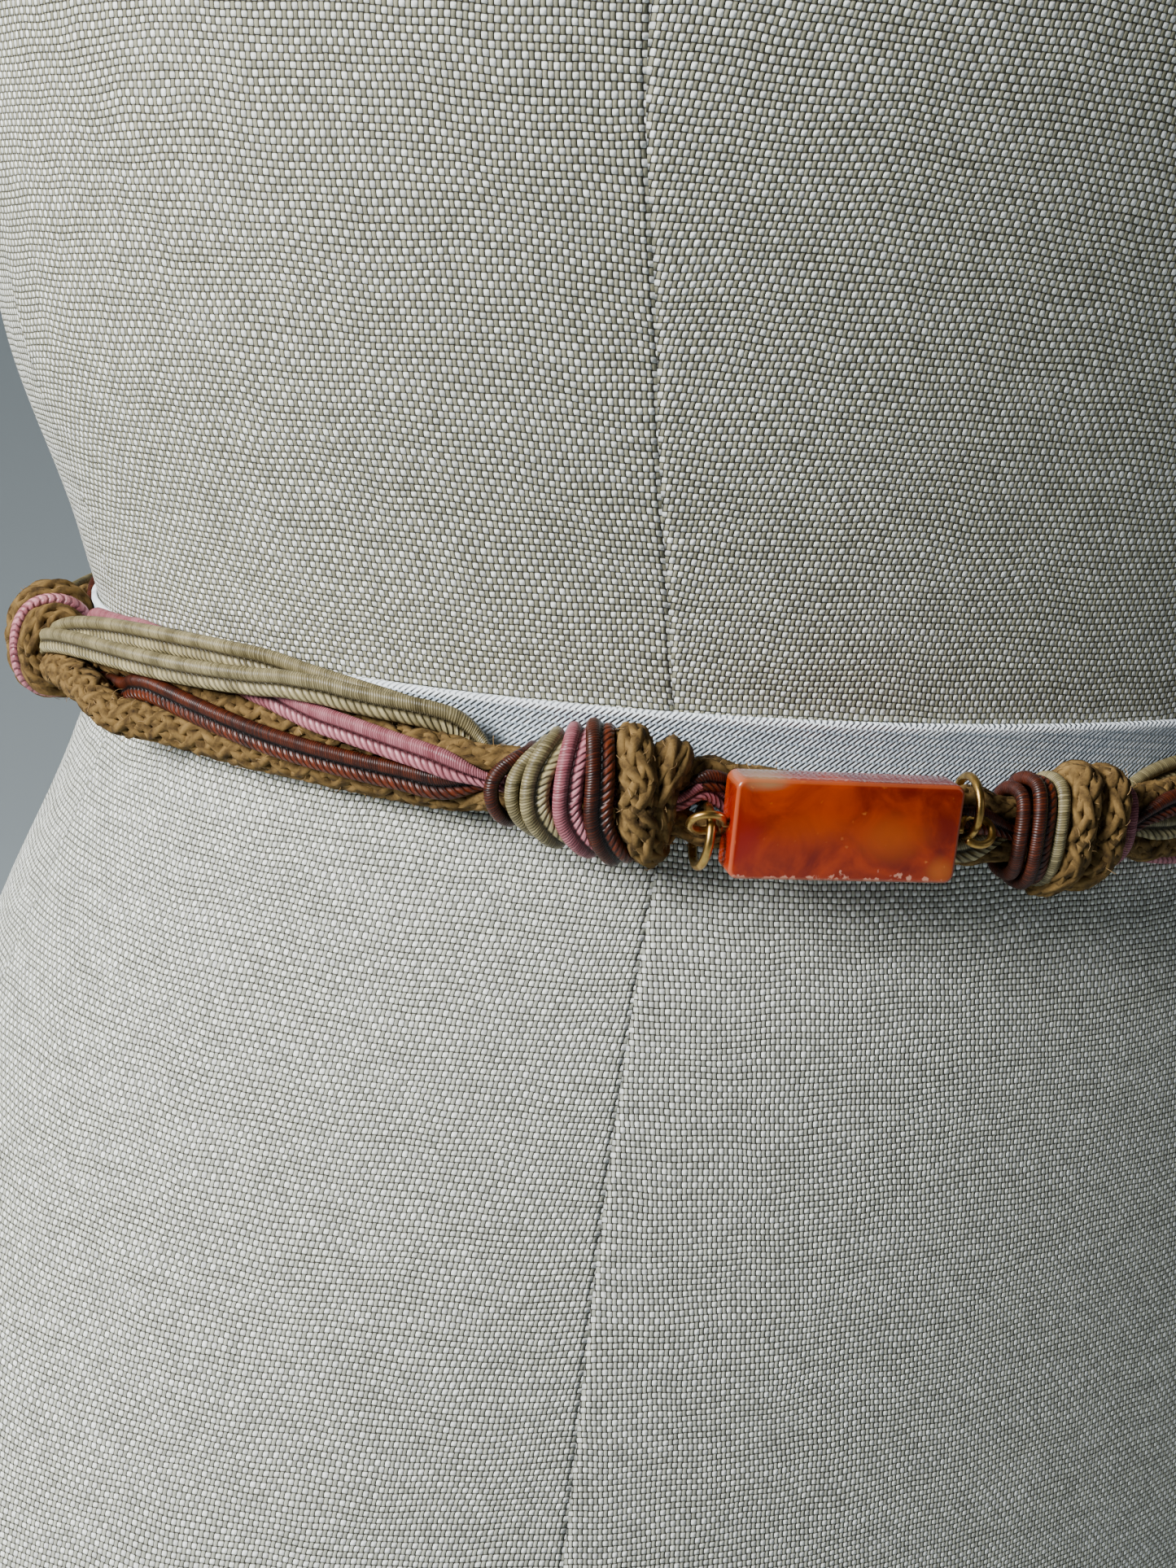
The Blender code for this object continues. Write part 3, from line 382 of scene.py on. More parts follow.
def form_point(angle, height, out=0.0):
    """A point of the form's level section. Angle 0 is the centre front and a quarter turn the left side."""
    width, front, back, square = form_section(height)
    side = np.sin(angle)
    ahead = np.cos(angle)
    depth = np.where(ahead > 0, front, back)
    x = (width + out) * np.sign(side) * np.abs(side) ** (2 / square)
    y = -(depth + out) * np.sign(ahead) * np.abs(ahead) ** (2 / square)
    return np.stack([x, y, np.broadcast_to(height, x.shape)], -1)


class Waistline:
    """The belt's middle line round the waist, measured from the centre front to the wearer's left."""

    FINENESS = 3600
    MIDDLE_OUT = 6.5

    def __init__(self):
        angle = np.linspace(-math.pi, math.pi, 2 * self.FINENESS + 1)
        points = form_point(angle, np.full(angle.shape, WAIST_HEIGHT))[:, :2]
        along = np.gradient(points, axis=0)
        along[0] = along[-1] = (points[1] - points[-2]) / 2
        along /= np.linalg.norm(along, axis=1)[:, None]
        self.points = points
        self.outward = np.stack([along[:, 1], -along[:, 0]], -1)
        middle = points + self.outward * self.MIDDLE_OUT
        run = np.concatenate([[0.0], np.cumsum(np.linalg.norm(np.diff(middle, axis=0), axis=1))])
        self.run = run - run[self.FINENESS]
        self.angle = angle

    def half(self):
        """Half the way round, from the centre front to the centre back."""
        return self.run[-1]

    def frame(self, along):
        """The point on the form, the way out and the way along, at a distance along the belt."""
        along = (np.asarray(along, float) + self.half()) % (2 * self.half()) - self.half()
        point = np.stack([np.interp(along, self.run, self.points[:, k]) for k in (0, 1)], -1)
        out = np.stack([np.interp(along, self.run, self.outward[:, k]) for k in (0, 1)], -1)
        out /= np.linalg.norm(out, axis=-1)[..., None]
        return point, out, np.stack([-out[..., 1], out[..., 0]], -1)

    def place(self, along, out, height):
        """A point so far along the belt, out from the form at the waist, and above the base."""
        point, outward, _ = self.frame(along)
        flat = point + outward * np.asarray(out, float)[..., None]
        return np.concatenate([flat, np.broadcast_to(height, flat.shape[:-1])[..., None]], -1)

    def swell(self, along, up):
        """How much further out than at the waist the form's skin is, so far above the waist."""
        along = (np.asarray(along, float) + self.half()) % (2 * self.half()) - self.half()
        angle = np.interp(along, self.run, self.angle)
        at_waist = form_point(angle, np.full(np.shape(angle), WAIST_HEIGHT))
        here = form_point(angle, WAIST_HEIGHT + up)
        return np.linalg.norm(here[..., :2], axis=-1) - np.linalg.norm(at_waist[..., :2], axis=-1)


WAIST = Waistline()
KNOT_AT = np.array([knot.at for knot in KNOTS])
KNOT_DROP = np.array([knot.drop for knot in KNOTS])


def belt_drop(along):
    """How far above the waist the belt's middle line hangs, level again some way past the end knots."""
    reach = 40.0
    places = np.concatenate([[KNOT_AT[0] - reach], KNOT_AT, [KNOT_AT[-1] + reach]])
    drops = np.concatenate([[KNOT_DROP[0]], KNOT_DROP, [KNOT_DROP[-1]]])
    return smooth_through(places, drops, np.asarray(along, float))


def local_axes(along):
    """The middle of the belt's place on the form, and the ways along, out and up there."""
    point, out, onward = WAIST.frame(along)
    return (
        np.array([*point, WAIST_HEIGHT]),
        np.array([*onward, 0.0]),
        np.array([*out, 0.0]),
        np.array([0.0, 0.0, 1.0]),
    )


def stone_axes():
    """The stone's middle, and the ways along, out and up there."""
    middle, onward, outward, upward = local_axes(STONE_AT)
    return middle + outward * STONE_OUT + upward * STONE_DROP, onward, outward, upward


def eye_middle(end):
    """The middle of the wire's eye at one end of the stone."""
    middle, onward, _, _ = stone_axes()
    return middle + onward * end * (STONE_LENGTH / 2 + EYE_GAP + EYE_RADIUS)


def ring_middle(ring):
    """Where a jump ring's middle is: its place along the belt, out from the form and up from the waist."""
    eye = eye_middle(ring.end)
    near = STONE_AT + ring.end * (STONE_LENGTH / 2 + np.linspace(-2.0, 6.0, 1601))
    points, _, onward = WAIST.frame(near)
    along = near[np.abs(np.sum((eye[:2] - points) * onward, axis=1)).argmin()]
    middle, _, outward, _ = local_axes(along)
    lean = math.radians(ring.towards_eye)
    out = (eye - middle) @ outward - RING_RADIUS * math.cos(lean)
    return along, out, eye[2] - WAIST_HEIGHT - RING_RADIUS * math.sin(lean)


def squeeze(along):
    """How tightly the cords are drawn: 1 where they lie free, and less in a knot and behind the stone."""
    tight = np.ones_like(along)
    behind_stone = STONE_LENGTH / 2 + STONE_SQUEEZE_RUN - np.abs(along - STONE_AT)
    tight -= (1 - STONE_SQUEEZE) * np.clip(behind_stone / STONE_SQUEEZE_RUN, 0, 1)
    for knot in KNOTS:
        beyond = np.maximum(knot.at + knot.left - along, along - knot.at - knot.right)
        share = np.clip(beyond / KNOT_SQUEEZE_RUN, 0.0, 1.0)
        share = share * share * (3 - 2 * share)
        tight = np.minimum(tight, KNOT_SQUEEZE + (1 - KNOT_SQUEEZE) * share)
    return tight


def inside_knots(places, margin):
    """Which places lie inside a knot, further from its ends than the margin."""
    inside = np.zeros(len(places), bool)
    for knot in KNOTS:
        inside |= (places > knot.at + knot.left + margin) & (places < knot.at + knot.right - margin)
    return inside


def knot_slot(knot, cord):
    """Where a cord passes inside a knot: out from the form, and up from the belt's middle line."""
    if cord == "tan_upper":
        return KNOT_OUT, ROPE_SLOT
    if cord == "tan_lower":
        return KNOT_OUT, -ROPE_SLOT
    return KNOT_OUT + BRAID_SLOTS[knot.order.index(cord)], 0.0


def lay_targets(places):
    """Where each cord wants to lie, out and up, before the cords make room for each other."""
    wanted = {cord: np.zeros((len(places), 2)) for cord in CORDS}
    for span, lay in enumerate(SPAN_LAYS):
        start, end = KNOT_AT[span], KNOT_AT[span + 1]
        inside = (places >= start) & (places <= end)
        share = (places[inside] - start) / (end - start)
        for cord in CORDS:
            rows = [knot_slot(KNOTS[span], cord), *LAYS[lay][cord], knot_slot(KNOTS[span + 1], cord)]
            for k in (0, 1):
                line = smooth_through([0.0, *LAY_STATIONS, 1.0], [row[k] for row in rows], share)
                wanted[cord][inside, k] = line
    for knot in KNOTS:
        inside = (places >= knot.at + knot.left) & (places <= knot.at + knot.right)
        for cord in CORDS:
            wanted[cord][inside] = knot_slot(knot, cord)
    return np.stack([wanted[cord] for cord in CORDS])


def lobes(cord):
    """A cord's section as round lobes: one for the rope, two side by side for a braid's two ridges."""
    if cord.startswith("tan"):
        return ((0.0, ROPE_RADIUS_PRESSED),)
    return ((-BRAID_THICKNESS / 2, RIDGE_RADIUS_PRESSED), (BRAID_THICKNESS / 2, RIDGE_RADIUS_PRESSED))


def spread_cords(lies, tight, fixed, share):
    """Pushes apart the cords that come too close, at this share of the way from each station to the next."""
    here = lies[:, :-1] * (1 - share) + lies[:, 1:] * share
    size = tight[:-1] * (1 - share) + tight[1:] * share
    moves = np.zeros_like(here)
    for a, first in enumerate(CORDS):
        for b in range(a + 1, len(CORDS)):
            for shift_a, radius_a in lobes(first):
                for shift_b, radius_b in lobes(CORDS[b]):
                    away = here[a] + moves[a] - here[b] - moves[b]
                    away[:, 1] += (shift_a - shift_b) * size
                    apart = np.linalg.norm(away, axis=1) + 1e-9
                    short = np.maximum((radius_a + radius_b) * size + CONTACT - apart, 0.0)
                    push = away / apart[:, None] * short[:, None] * PUSH
                    heavy = radius_a / (radius_a + radius_b)
                    moves[a] += push * (1 - heavy)
                    moves[b] -= push * heavy
    reach = (1 - share) ** 2 + share**2
    first = moves * (1 - share) / reach
    second = moves * share / reach
    first[:, fixed[:-1]] = 0.0
    second[:, fixed[1:]] = 0.0
    lies[:, :-1] += first
    lies[:, 1:] += second


def clear_ring(lies, places, tight, drop, fixed, ring):
    """Keeps a jump ring's cords inside it and the others outside it."""
    at, ring_out, ring_up = ring_middle(ring)
    k = np.searchsorted(places, at) - 1
    share = (at - places[k]) / (places[k + 1] - places[k])
    size = tight[k] * (1 - share) + tight[k + 1] * share
    hang = drop[k] * (1 - share) + drop[k + 1] * share
    reach = (1 - share) ** 2 + share**2
    for a, cord in enumerate(CORDS):
        for shift, radius in lobes(cord):
            away = lies[a, k] * (1 - share) + lies[a, k + 1] * share
            away = away + (0.0, shift * size + hang) - np.array([ring_out, ring_up])
            apart = np.linalg.norm(away) + 1e-9
            if cord in ring.cords:
                push = min(RING_RADIUS - RING_WIRE / 2 - CONTACT - radius * size - apart, 0.0)
            else:
                push = max(RING_RADIUS + RING_WIRE / 2 + CONTACT + radius * size - apart, 0.0)
            for step, part in ((k, 1 - share), (k + 1, share)):
                if not fixed[step]:
                    lies[a, step] += away / apart * push * PUSH * part / reach


def make_room(places, wanted):
    """Moves the cords apart, out of the form and clear of the stone and rings, as little as they need to."""
    lies = wanted.copy()
    tight = squeeze(places)
    fixed = inside_knots(places, KNOT_MARGIN)
    drop = belt_drop(places)
    behind = np.abs(places - STONE_AT) < STONE_LENGTH / 2 + 1
    ceiling = STONE_OUT - STONE_DEPTH / 2 - CONTACT
    skins = {}
    for turn in range(ROOM_ROUNDS):
        settle = turn > SETTLE_AFTER
        if not settle:
            lies += (wanted - lies) * PULL_BACK
        for share in (0.0, 0.5):
            spread_cords(lies, tight, fixed, share)
        for ring in RINGS:
            clear_ring(lies, places, tight, drop, fixed, ring)
        for a, cord in enumerate(CORDS):
            for shift, radius in lobes(cord):
                if turn % SKIN_EVERY == 0:
                    skins[cord, shift] = WAIST.swell(places, lies[a][:, 1] + shift * tight + drop)
                low = TAPE_THICKNESS + TAPE_GAP + skins[cord, shift] + radius * tight
                low[fixed] = 0.0
                lies[a][:, 0] = np.maximum(lies[a][:, 0], low)
                high = np.where(behind, ceiling - radius * tight, np.inf)
                lies[a][:, 0] = np.minimum(lies[a][:, 0], high)
        lies[:, :, 1] = np.clip(lies[:, :, 1], -MOST_SPREAD, MOST_SPREAD)
        if not settle:
            # Each station is drawn half way towards the middle of its two neighbours.
            smooth = lies.copy()
            smooth[:, 1:-1] = 0.5 * lies[:, 1:-1] + 0.25 * (lies[:, 2:] + lies[:, :-2])
            smooth[:, fixed] = lies[:, fixed]
            lies = smooth
    return lies


def cord_runs():
    """Each cord's path from the first knot to the last: places along the belt, out, height and tightness."""
    places = np.arange(KNOT_AT[0], KNOT_AT[-1] + STATION_STEP, STATION_STEP)
    places[-1] = KNOT_AT[-1]
    lies = make_room(places, lay_targets(places))
    fine = np.arange(KNOT_AT[0], KNOT_AT[-1] + FINE_STEP / 2, FINE_STEP)
    runs = {}
    for cord, line in zip(CORDS, lies):
        out = smooth_through(places, line[:, 0], fine)
        height = WAIST_HEIGHT + smooth_through(places, line[:, 1], fine) + belt_drop(fine)
        runs[cord] = fine, out, height, squeeze(fine)
    return runs


def linear(colour):
    """A colour written as sRGB hex, as the linear values that the shaders take."""
    parts = [int(colour[k : k + 2], 16) / 255 for k in (1, 3, 5)]
    return tuple(p / 12.92 if p <= 0.04045 else ((p + 0.055) / 1.055) ** 2.4 for p in parts) + (1.0,)


def add(tree, kind, inputs=(), output=0, **settings):
    """Adds a node with its settings and what goes into its sockets, which are named or taken in their order,
    and gives one output or all of them."""
    node = tree.nodes.new(kind)
    for name, value in settings.items():
        setattr(node, name, value)
    for key, value in inputs.items() if isinstance(inputs, dict) else enumerate(inputs):
        socket = node.inputs[key]
        if isinstance(value, bpy.types.NodeSocket):
            tree.links.new(value, socket)
        else:
            socket.default_value = value
    return node.outputs if output is None else node.outputs[output]


def new_object(name, data):
    """An object at the origin, put in the scene."""
    thing = bpy.data.objects.new(name, data)
    bpy.context.scene.collection.objects.link(thing)
    return thing


def new_mesh_object(name, points, faces, material=None, edges=()):
    """An object from points in millimetres."""
    mesh = bpy.data.meshes.new(name)
    mesh.from_pydata((np.asarray(points) * MM).tolist(), list(edges), faces)
    mesh.shade_smooth()
    if material:
        mesh.materials.append(material)
    return new_object(name, mesh)


def dress(thing, slot, *nodes):
    """Puts a piece on the CAD body in place of these CAD nodes. The slot is not used."""
    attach(thing, "root")
    if nodes:
        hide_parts(*nodes)
    return thing


def grid_faces(rows, columns, closed_rows, closed_columns):
    """The faces of a grid of points that are numbered row after row."""
    faces = []
    for row in range(rows if closed_rows else rows - 1):
        start = row * columns
        after = (row + 1) % rows * columns
        for column in range(columns if closed_columns else columns - 1):
            other = (column + 1) % columns
            faces.append((start + column, start + other, after + other, after + column))
    return faces


def paint_uv(thing, name, corner_uv):
    """Gives a mesh a UV map from a value for each face corner."""
    layer = thing.data.uv_layers.new(name=name)
    layer.data.foreach_set("uv", np.asarray(corner_uv, np.float32).ravel())


def path_frames(path, upright, closed):
    """The way onward, across and over at each point of a path, over being as near upright as it can be."""
    if closed:
        onward = np.roll(path, -1, axis=0) - np.roll(path, 1, axis=0)
    else:
        onward = np.gradient(path, axis=0)
    onward /= np.linalg.norm(onward, axis=1)[:, None]
    over = upright - np.sum(upright * onward, axis=1)[:, None] * onward
    over /= np.linalg.norm(over, axis=1)[:, None]
    return onward, np.cross(over, onward), over


def sweep(name, parts, material):
    """One piece of sections swept along paths. Each part has a path, its ways across and over, a section,
    how far across it the section's points are, sizes along the path, and whether the path closes."""
    points, faces, corner_uv = [], [], []
    for path, across, over, section, widths, sizes, closed in parts:
        rows, columns = len(path), len(section)
        rings = path[:, None] + sizes[:, None, None] * (
            section[None, :, :1] * across[:, None] + section[None, :, 1:] * over[:, None]
        )
        lengths = np.concatenate([[0.0], np.cumsum(np.linalg.norm(np.diff(path, axis=0), axis=1))])
        total = lengths[-1] + np.linalg.norm(path[0] - path[-1])
        offset = sum(len(p) for p in points)
        points.append(rings.reshape(-1, 3))
        for face in grid_faces(rows, columns, closed, True):
            faces.append(tuple(index + offset for index in face))
            row = face[0] // columns
            column = face[0] % columns
            after = total if closed and row == rows - 1 else lengths[(row + 1) % rows]
            here, near, far = lengths[row], widths[column], widths[column + 1]
            corner_uv += [(here, near), (here, far), (after, far), (after, near)]
        if not closed:
            first = tuple(range(offset, offset + columns))[::-1]
            last = tuple(range(offset + (rows - 1) * columns, offset + rows * columns))
            faces += [first, last]
            corner_uv += [(0.0, 0.0)] * (2 * columns)
    thing = new_mesh_object(name, np.concatenate(points), faces, material)
    paint_uv(thing, "yarn", corner_uv)
    return thing


def new_material(name):
    """An empty material and its tree."""
    material = bpy.data.materials.new(name)
    material.use_nodes = True
    material.node_tree.nodes.clear()
    return material, material.node_tree


def finish_material(material, finish):
    """Gives a material the surface that these values and sockets make, and gives it back."""
    tree = material.node_tree
    surface = add(tree, "ShaderNodeBsdfPrincipled", finish)
    add(tree, "ShaderNodeOutputMaterial", {"Surface": surface}, None)
    return material


def backdrop_paper():
    """Matt pale paper, without a pattern, for the floor and the wall."""
    material, _ = new_material("backdrop_paper")
    return finish_material(material, {"Base Color": linear(BACKDROP), "Roughness": 0.95})


def linen():
    """Plain-woven linen over the form: uneven bright weft floats over a greyer, beiger warp, with pinholes
    where four yarns meet, so that the cover looks grainy up close and dull and even from further off. The
    pinholes and the low parts between the yarns are darkened with painted shade."""
    material, tree = new_material("plain_woven_linen")
    cloth = add(tree, "ShaderNodeUVMap", uv_map="cloth")
    drift = add(tree, NOISE, {"Vector": cloth, "Scale": 0.06, "Detail": 2.0}, output="Color")
    drift = add(tree, VECTOR_MATH, (drift, (0.5, 0.5, 0.5)), operation="SUBTRACT")
    cloth = add(tree, VECTOR_MATH, (drift, (1.6, 2.2, 0.0), cloth), operation="MULTIPLY_ADD")
    yarns = add(tree, VECTOR_MATH, (cloth, (WARP_PITCH, WEFT_PITCH, 1.0)), operation="DIVIDE")
    cell = add(tree, VECTOR_MATH, (yarns,), operation="FLOOR")
    inner = add(tree, VECTOR_MATH, (yarns,), operation="FRACTION")
    stretch = {1: (2.0, 2.0, 0.0), 2: (-1.0, -1.0, 0.0)}
    inner = add(tree, VECTOR_MATH, {0: inner, **stretch}, operation="MULTIPLY_ADD")
    square = add(tree, VECTOR_MATH, (inner, inner), operation="MULTIPLY")
    bow = add(tree, SPLIT, (square,), None)
    count = add(tree, SPLIT, (cell,), None)
    which = add(tree, MATH, (count["X"], count["Y"]), operation="ADD")
    which = add(tree, MATH, (which, 2.0), operation="FLOORED_MODULO")

    place = add(tree, SPLIT, (cloth,), None)
    noises = []
    for x, y, scale in (
        (place["X"], count["Y"], (0.09, 3.7, 0.0)),
        (count["X"], place["Y"], (5.3, 0.07, 0.0)),
    ):
        yarn = add(tree, "ShaderNodeCombineXYZ", (x, y))
        yarn = add(tree, VECTOR_MATH, (yarn, scale), operation="MULTIPLY")
        noises.append(add(tree, NOISE, {"Vector": yarn, "Scale": 1.0, "Detail": 2.0}))
    slub, lay = noises
    spot = add(tree, WHITE_NOISE, {"Vector": cell})

    along = add(tree, MATH, (bow["X"], -0.55, 1.0), operation="MULTIPLY_ADD")
    thinness = {"From Min": 0.3, "From Max": 0.7, "To Min": -1.15, "To Max": -0.8}
    wide = add(tree, MAP_RANGE, {"Value": slub, **thinness})
    over = add(tree, MATH, (bow["Y"], wide, 1.0), operation="MULTIPLY_ADD")
    weft = add(tree, MATH, (along, over), operation="MULTIPLY")
    along = add(tree, MATH, (bow["Y"], -0.5, 1.0), operation="MULTIPLY_ADD")
    over = add(tree, MATH, (bow["X"], -1.0, 1.0), operation="MULTIPLY_ADD")
    warp = add(tree, MATH, (along, over), operation="MULTIPLY")
    warp = add(tree, MATH, (warp, WARP_HEIGHT), operation="MULTIPLY")
    height = add(tree, MIX, {0: which, 2: warp, 3: weft})

    # Below the waist the warp is painted paler, as painted light where the lamp falls more strongly.
    weft_tone = add(tree, MIX, {0: slub, 6: linear("#e0e1d1"), 7: linear("#ffffff")}, **COLOUR)
    warp_tone = add(tree, MIX, {0: lay, 6: linear("#807c62"), 7: linear("#aca98f")}, **COLOUR)
    painted_light_fade = {"From Min": WAIST_HEIGHT - 12, "From Max": WAIST_HEIGHT + 4, "To Min": 0.45, "To Max": 0.0}
    painted_light_below_waist = add(tree, MAP_RANGE, {"Value": place["Y"], **painted_light_fade})
    warp_tone = add(tree, MIX, {0: painted_light_below_waist, 6: warp_tone, 7: linear("#ccd0c4")}, **COLOUR)
    tone = add(tree, MIX, {0: which, 6: warp_tone, 7: weft_tone}, **COLOUR)
    speck = add(tree, MAP_RANGE, {"Value": spot, "To Min": 0.7, "To Max": 1.15})
    tone = add(tree, VECTOR_MATH, {0: tone, "Scale": speck}, operation="SCALE")
    # Painted shade: the low parts between the yarns and the pinholes are darkened towards a near black.
    painted_gap_shade = add(tree, MAP_RANGE, {"Value": height, "From Min": 0.12, "From Max": 0.55}, **SMOOTH)
    tone = add(tree, MIX, {0: painted_gap_shade, 6: linear("#2a261b"), 7: tone}, **COLOUR)

    # What follows draws the seam: "seam" holds how far from it a point is, and how far along it.
    seam = add(tree, "ShaderNodeUVMap", uv_map="seam")
    seam = add(tree, SPLIT, (seam,), None)
    dip = {"From Min": 0.05, "From Max": 0.9, "To Min": -1.3, "To Max": 0.0}
    groove = add(tree, MAP_RANGE, {"Value": seam["X"], **dip}, **SMOOTH)
    fade = add(tree, MATH, (seam["X"], -0.45), operation="MULTIPLY")
    fade = add(tree, MATH, (fade,), operation="EXPONENT")
    pucker = add(tree, MATH, (seam["Y"], math.tau / PUCKER_PITCH), operation="MULTIPLY")
    pucker = add(tree, MATH, (pucker,), operation="SINE")
    pucker = add(tree, MATH, (pucker, fade), operation="MULTIPLY")
    relief = add(tree, MATH, (pucker, 0.6, groove), operation="MULTIPLY_ADD")
    relief = add(tree, MATH, (height, relief), operation="ADD")
    normal = add(tree, "ShaderNodeBump", {"Strength": 1.0, "Distance": 0.2 * MM, "Height": relief})
    shade = add(tree, MAP_RANGE, {"Value": seam["X"], "From Min": 0.1, "From Max": 0.5, "To Min": 0.84})
    tone = add(tree, VECTOR_MATH, {0: tone, "Scale": shade}, operation="SCALE")
    finish = {"Base Color": tone, "Roughness": 0.82, "Normal": normal, "Specular IOR Level": 0.35}
    return finish_material(material, finish)


def cotton_twill():
    """Bleached cotton twill tape: fine slanting floats, a little glossy, with painted shade between the
    floats and a firm bright edge.
    """
    material, tree = new_material("bleached_cotton_twill")
    cloth = add(tree, "ShaderNodeUVMap", uv_map="cloth")
    slant = (0.0, 0.0, math.radians(-TWILL_SLANT))
    turned = add(tree, "ShaderNodeMapping", {"Vector": cloth, "Rotation": slant})
    place = add(tree, VECTOR_MATH, (turned, (TWILL_FLOAT, TWILL_PITCH, 1.0)), operation="DIVIDE")
    parts = add(tree, SPLIT, (place,), None)
    row = add(tree, MATH, (parts["Y"],), operation="FLOOR")
    shift = add(tree, MATH, (row, 0.37), operation="MULTIPLY")
    run = add(tree, MATH, (parts["X"], shift), operation="ADD")
    number = add(tree, MATH, (run,), operation="FLOOR")
    run = add(tree, MATH, (run,), operation="FRACT")
    wide = add(tree, MATH, (parts["Y"],), operation="FRACT")
    run = add(tree, MATH, (run, 0.5), operation="PINGPONG")
    wide = add(tree, MATH, (wide, 0.5), operation="PINGPONG")
    run = add(tree, MAP_RANGE, {"Value": run, "From Max": 0.22}, **SMOOTH)
    wide = add(tree, MAP_RANGE, {"Value": wide, "From Max": 0.5}, **SMOOTH)
    float_height = add(tree, MATH, (run, wide), operation="MULTIPLY")
    which = add(tree, "ShaderNodeCombineXYZ", {"X": number, "Y": row})
    spot = add(tree, WHITE_NOISE, {"Vector": which})
    # Painted shade: each float's tone, which differs at random, is darkened towards the float's edges, where
    # the floats meet.
    bright = add(tree, MAP_RANGE, {"Value": spot, "To Min": 0.1, "To Max": 1.0})
    bright = add(tree, MATH, (bright, float_height), operation="MULTIPLY")
    soft = add(tree, NOISE, {"Vector": cloth, "Scale": 0.5, "Detail": 3.0})
    bright = add(tree, MATH, (soft, 0.35, bright), operation="MULTIPLY_ADD")
    tone = add(tree, MIX, {0: bright, 6: linear("#97a6b3"), 7: linear("#edf5fb")}, **COLOUR)
    up = add(tree, SPLIT, (cloth,), "Y")
    edge = add(tree, MAP_RANGE, {"Value": up, "From Min": TAPE_WIDTH - 1.1, "From Max": TAPE_WIDTH - 0.6})
    tone = add(tree, MIX, {0: edge, 6: tone, 7: linear("#f2f8fc")}, **COLOUR)
    normal = add(tree, "ShaderNodeBump", {"Strength": 1.0, "Distance": 0.2 * MM, "Height": float_height})
    finish = {"Base Color": tone, "Roughness": 0.62, "Normal": normal, "Specular IOR Level": 0.45}
    return finish_material(material, finish)


def cotton_yarn():
    """Soft two-ply cotton yarn, dyed tan: dull, with the plies' slant on each yarn, painted shade in the
    groove between the plies, and a dusty bloom.
    """
    material, tree = new_material("spun_cotton_yarn")
    place = add(tree, ATTRIBUTE, output="Vector", attribute_name="round")
    run = add(tree, ATTRIBUTE, output="Fac", attribute_name="run")
    strand = add(tree, ATTRIBUTE, output="Fac", attribute_name="strand")
    parts = add(tree, SPLIT, (place,), None)
    angle = add(tree, MATH, (parts["Y"], parts["X"]), operation="ARCTAN2")
    twist = add(tree, MATH, (run, math.tau / (PLY_PITCH * MM)), operation="MULTIPLY")
    phase = add(tree, MATH, (angle, 2.0, twist), operation="MULTIPLY_ADD")
    ply = add(tree, MATH, (phase,), operation="COSINE")
    ply = add(tree, MATH, (ply, 0.5, 0.5), operation="MULTIPLY_ADD")
    spot = add(tree, COORDINATES, output="Object")
    lint = add(tree, NOISE, {"Vector": spot, "Scale": 2600.0, "Detail": 4.0, "Roughness": 0.7})
    patch = add(tree, NOISE, {"Vector": spot, "Scale": 420.0, "Detail": 2.0})
    own = add(tree, WHITE_NOISE, {"W": strand}, noise_dimensions="1D")
    # The ply stripe darkens the groove between the two plies with painted shade; the lint, the patches and
    # each yarn's own tone differ at random.
    mixed = 0.0
    for part, share in ((ply, 0.30), (lint, 0.62), (patch, 0.5), (own, 0.16)):
        mixed = add(tree, MATH, (part, share, mixed), operation="MULTIPLY_ADD")
    mixed = add(tree, MAP_RANGE, {"Value": mixed, "From Min": 0.45, "From Max": 1.15})
    tone = add(tree, MIX, {0: mixed, 6: linear("#2c1e0e"), 7: linear("#83673b")}, **COLOUR)
    relief = add(tree, MATH, (lint, 0.5, ply), operation="MULTIPLY_ADD")
    normal = add(tree, "ShaderNodeBump", {"Strength": 0.9, "Distance": 0.09 * MM, "Height": relief})
    finish = {"Base Color": tone, "Roughness": 0.92, "Normal": normal, "Specular IOR Level": 0.15}
    return finish_material(material, finish)


def cotton_fibre():
    """Single cotton fibres that stand up from the yarn, finer and paler, so that its edge looks soft."""
    material, _ = new_material("loose_cotton_fibre")
    return finish_material(material, {"Base Color": linear("#957549"), "Roughness": 0.85})


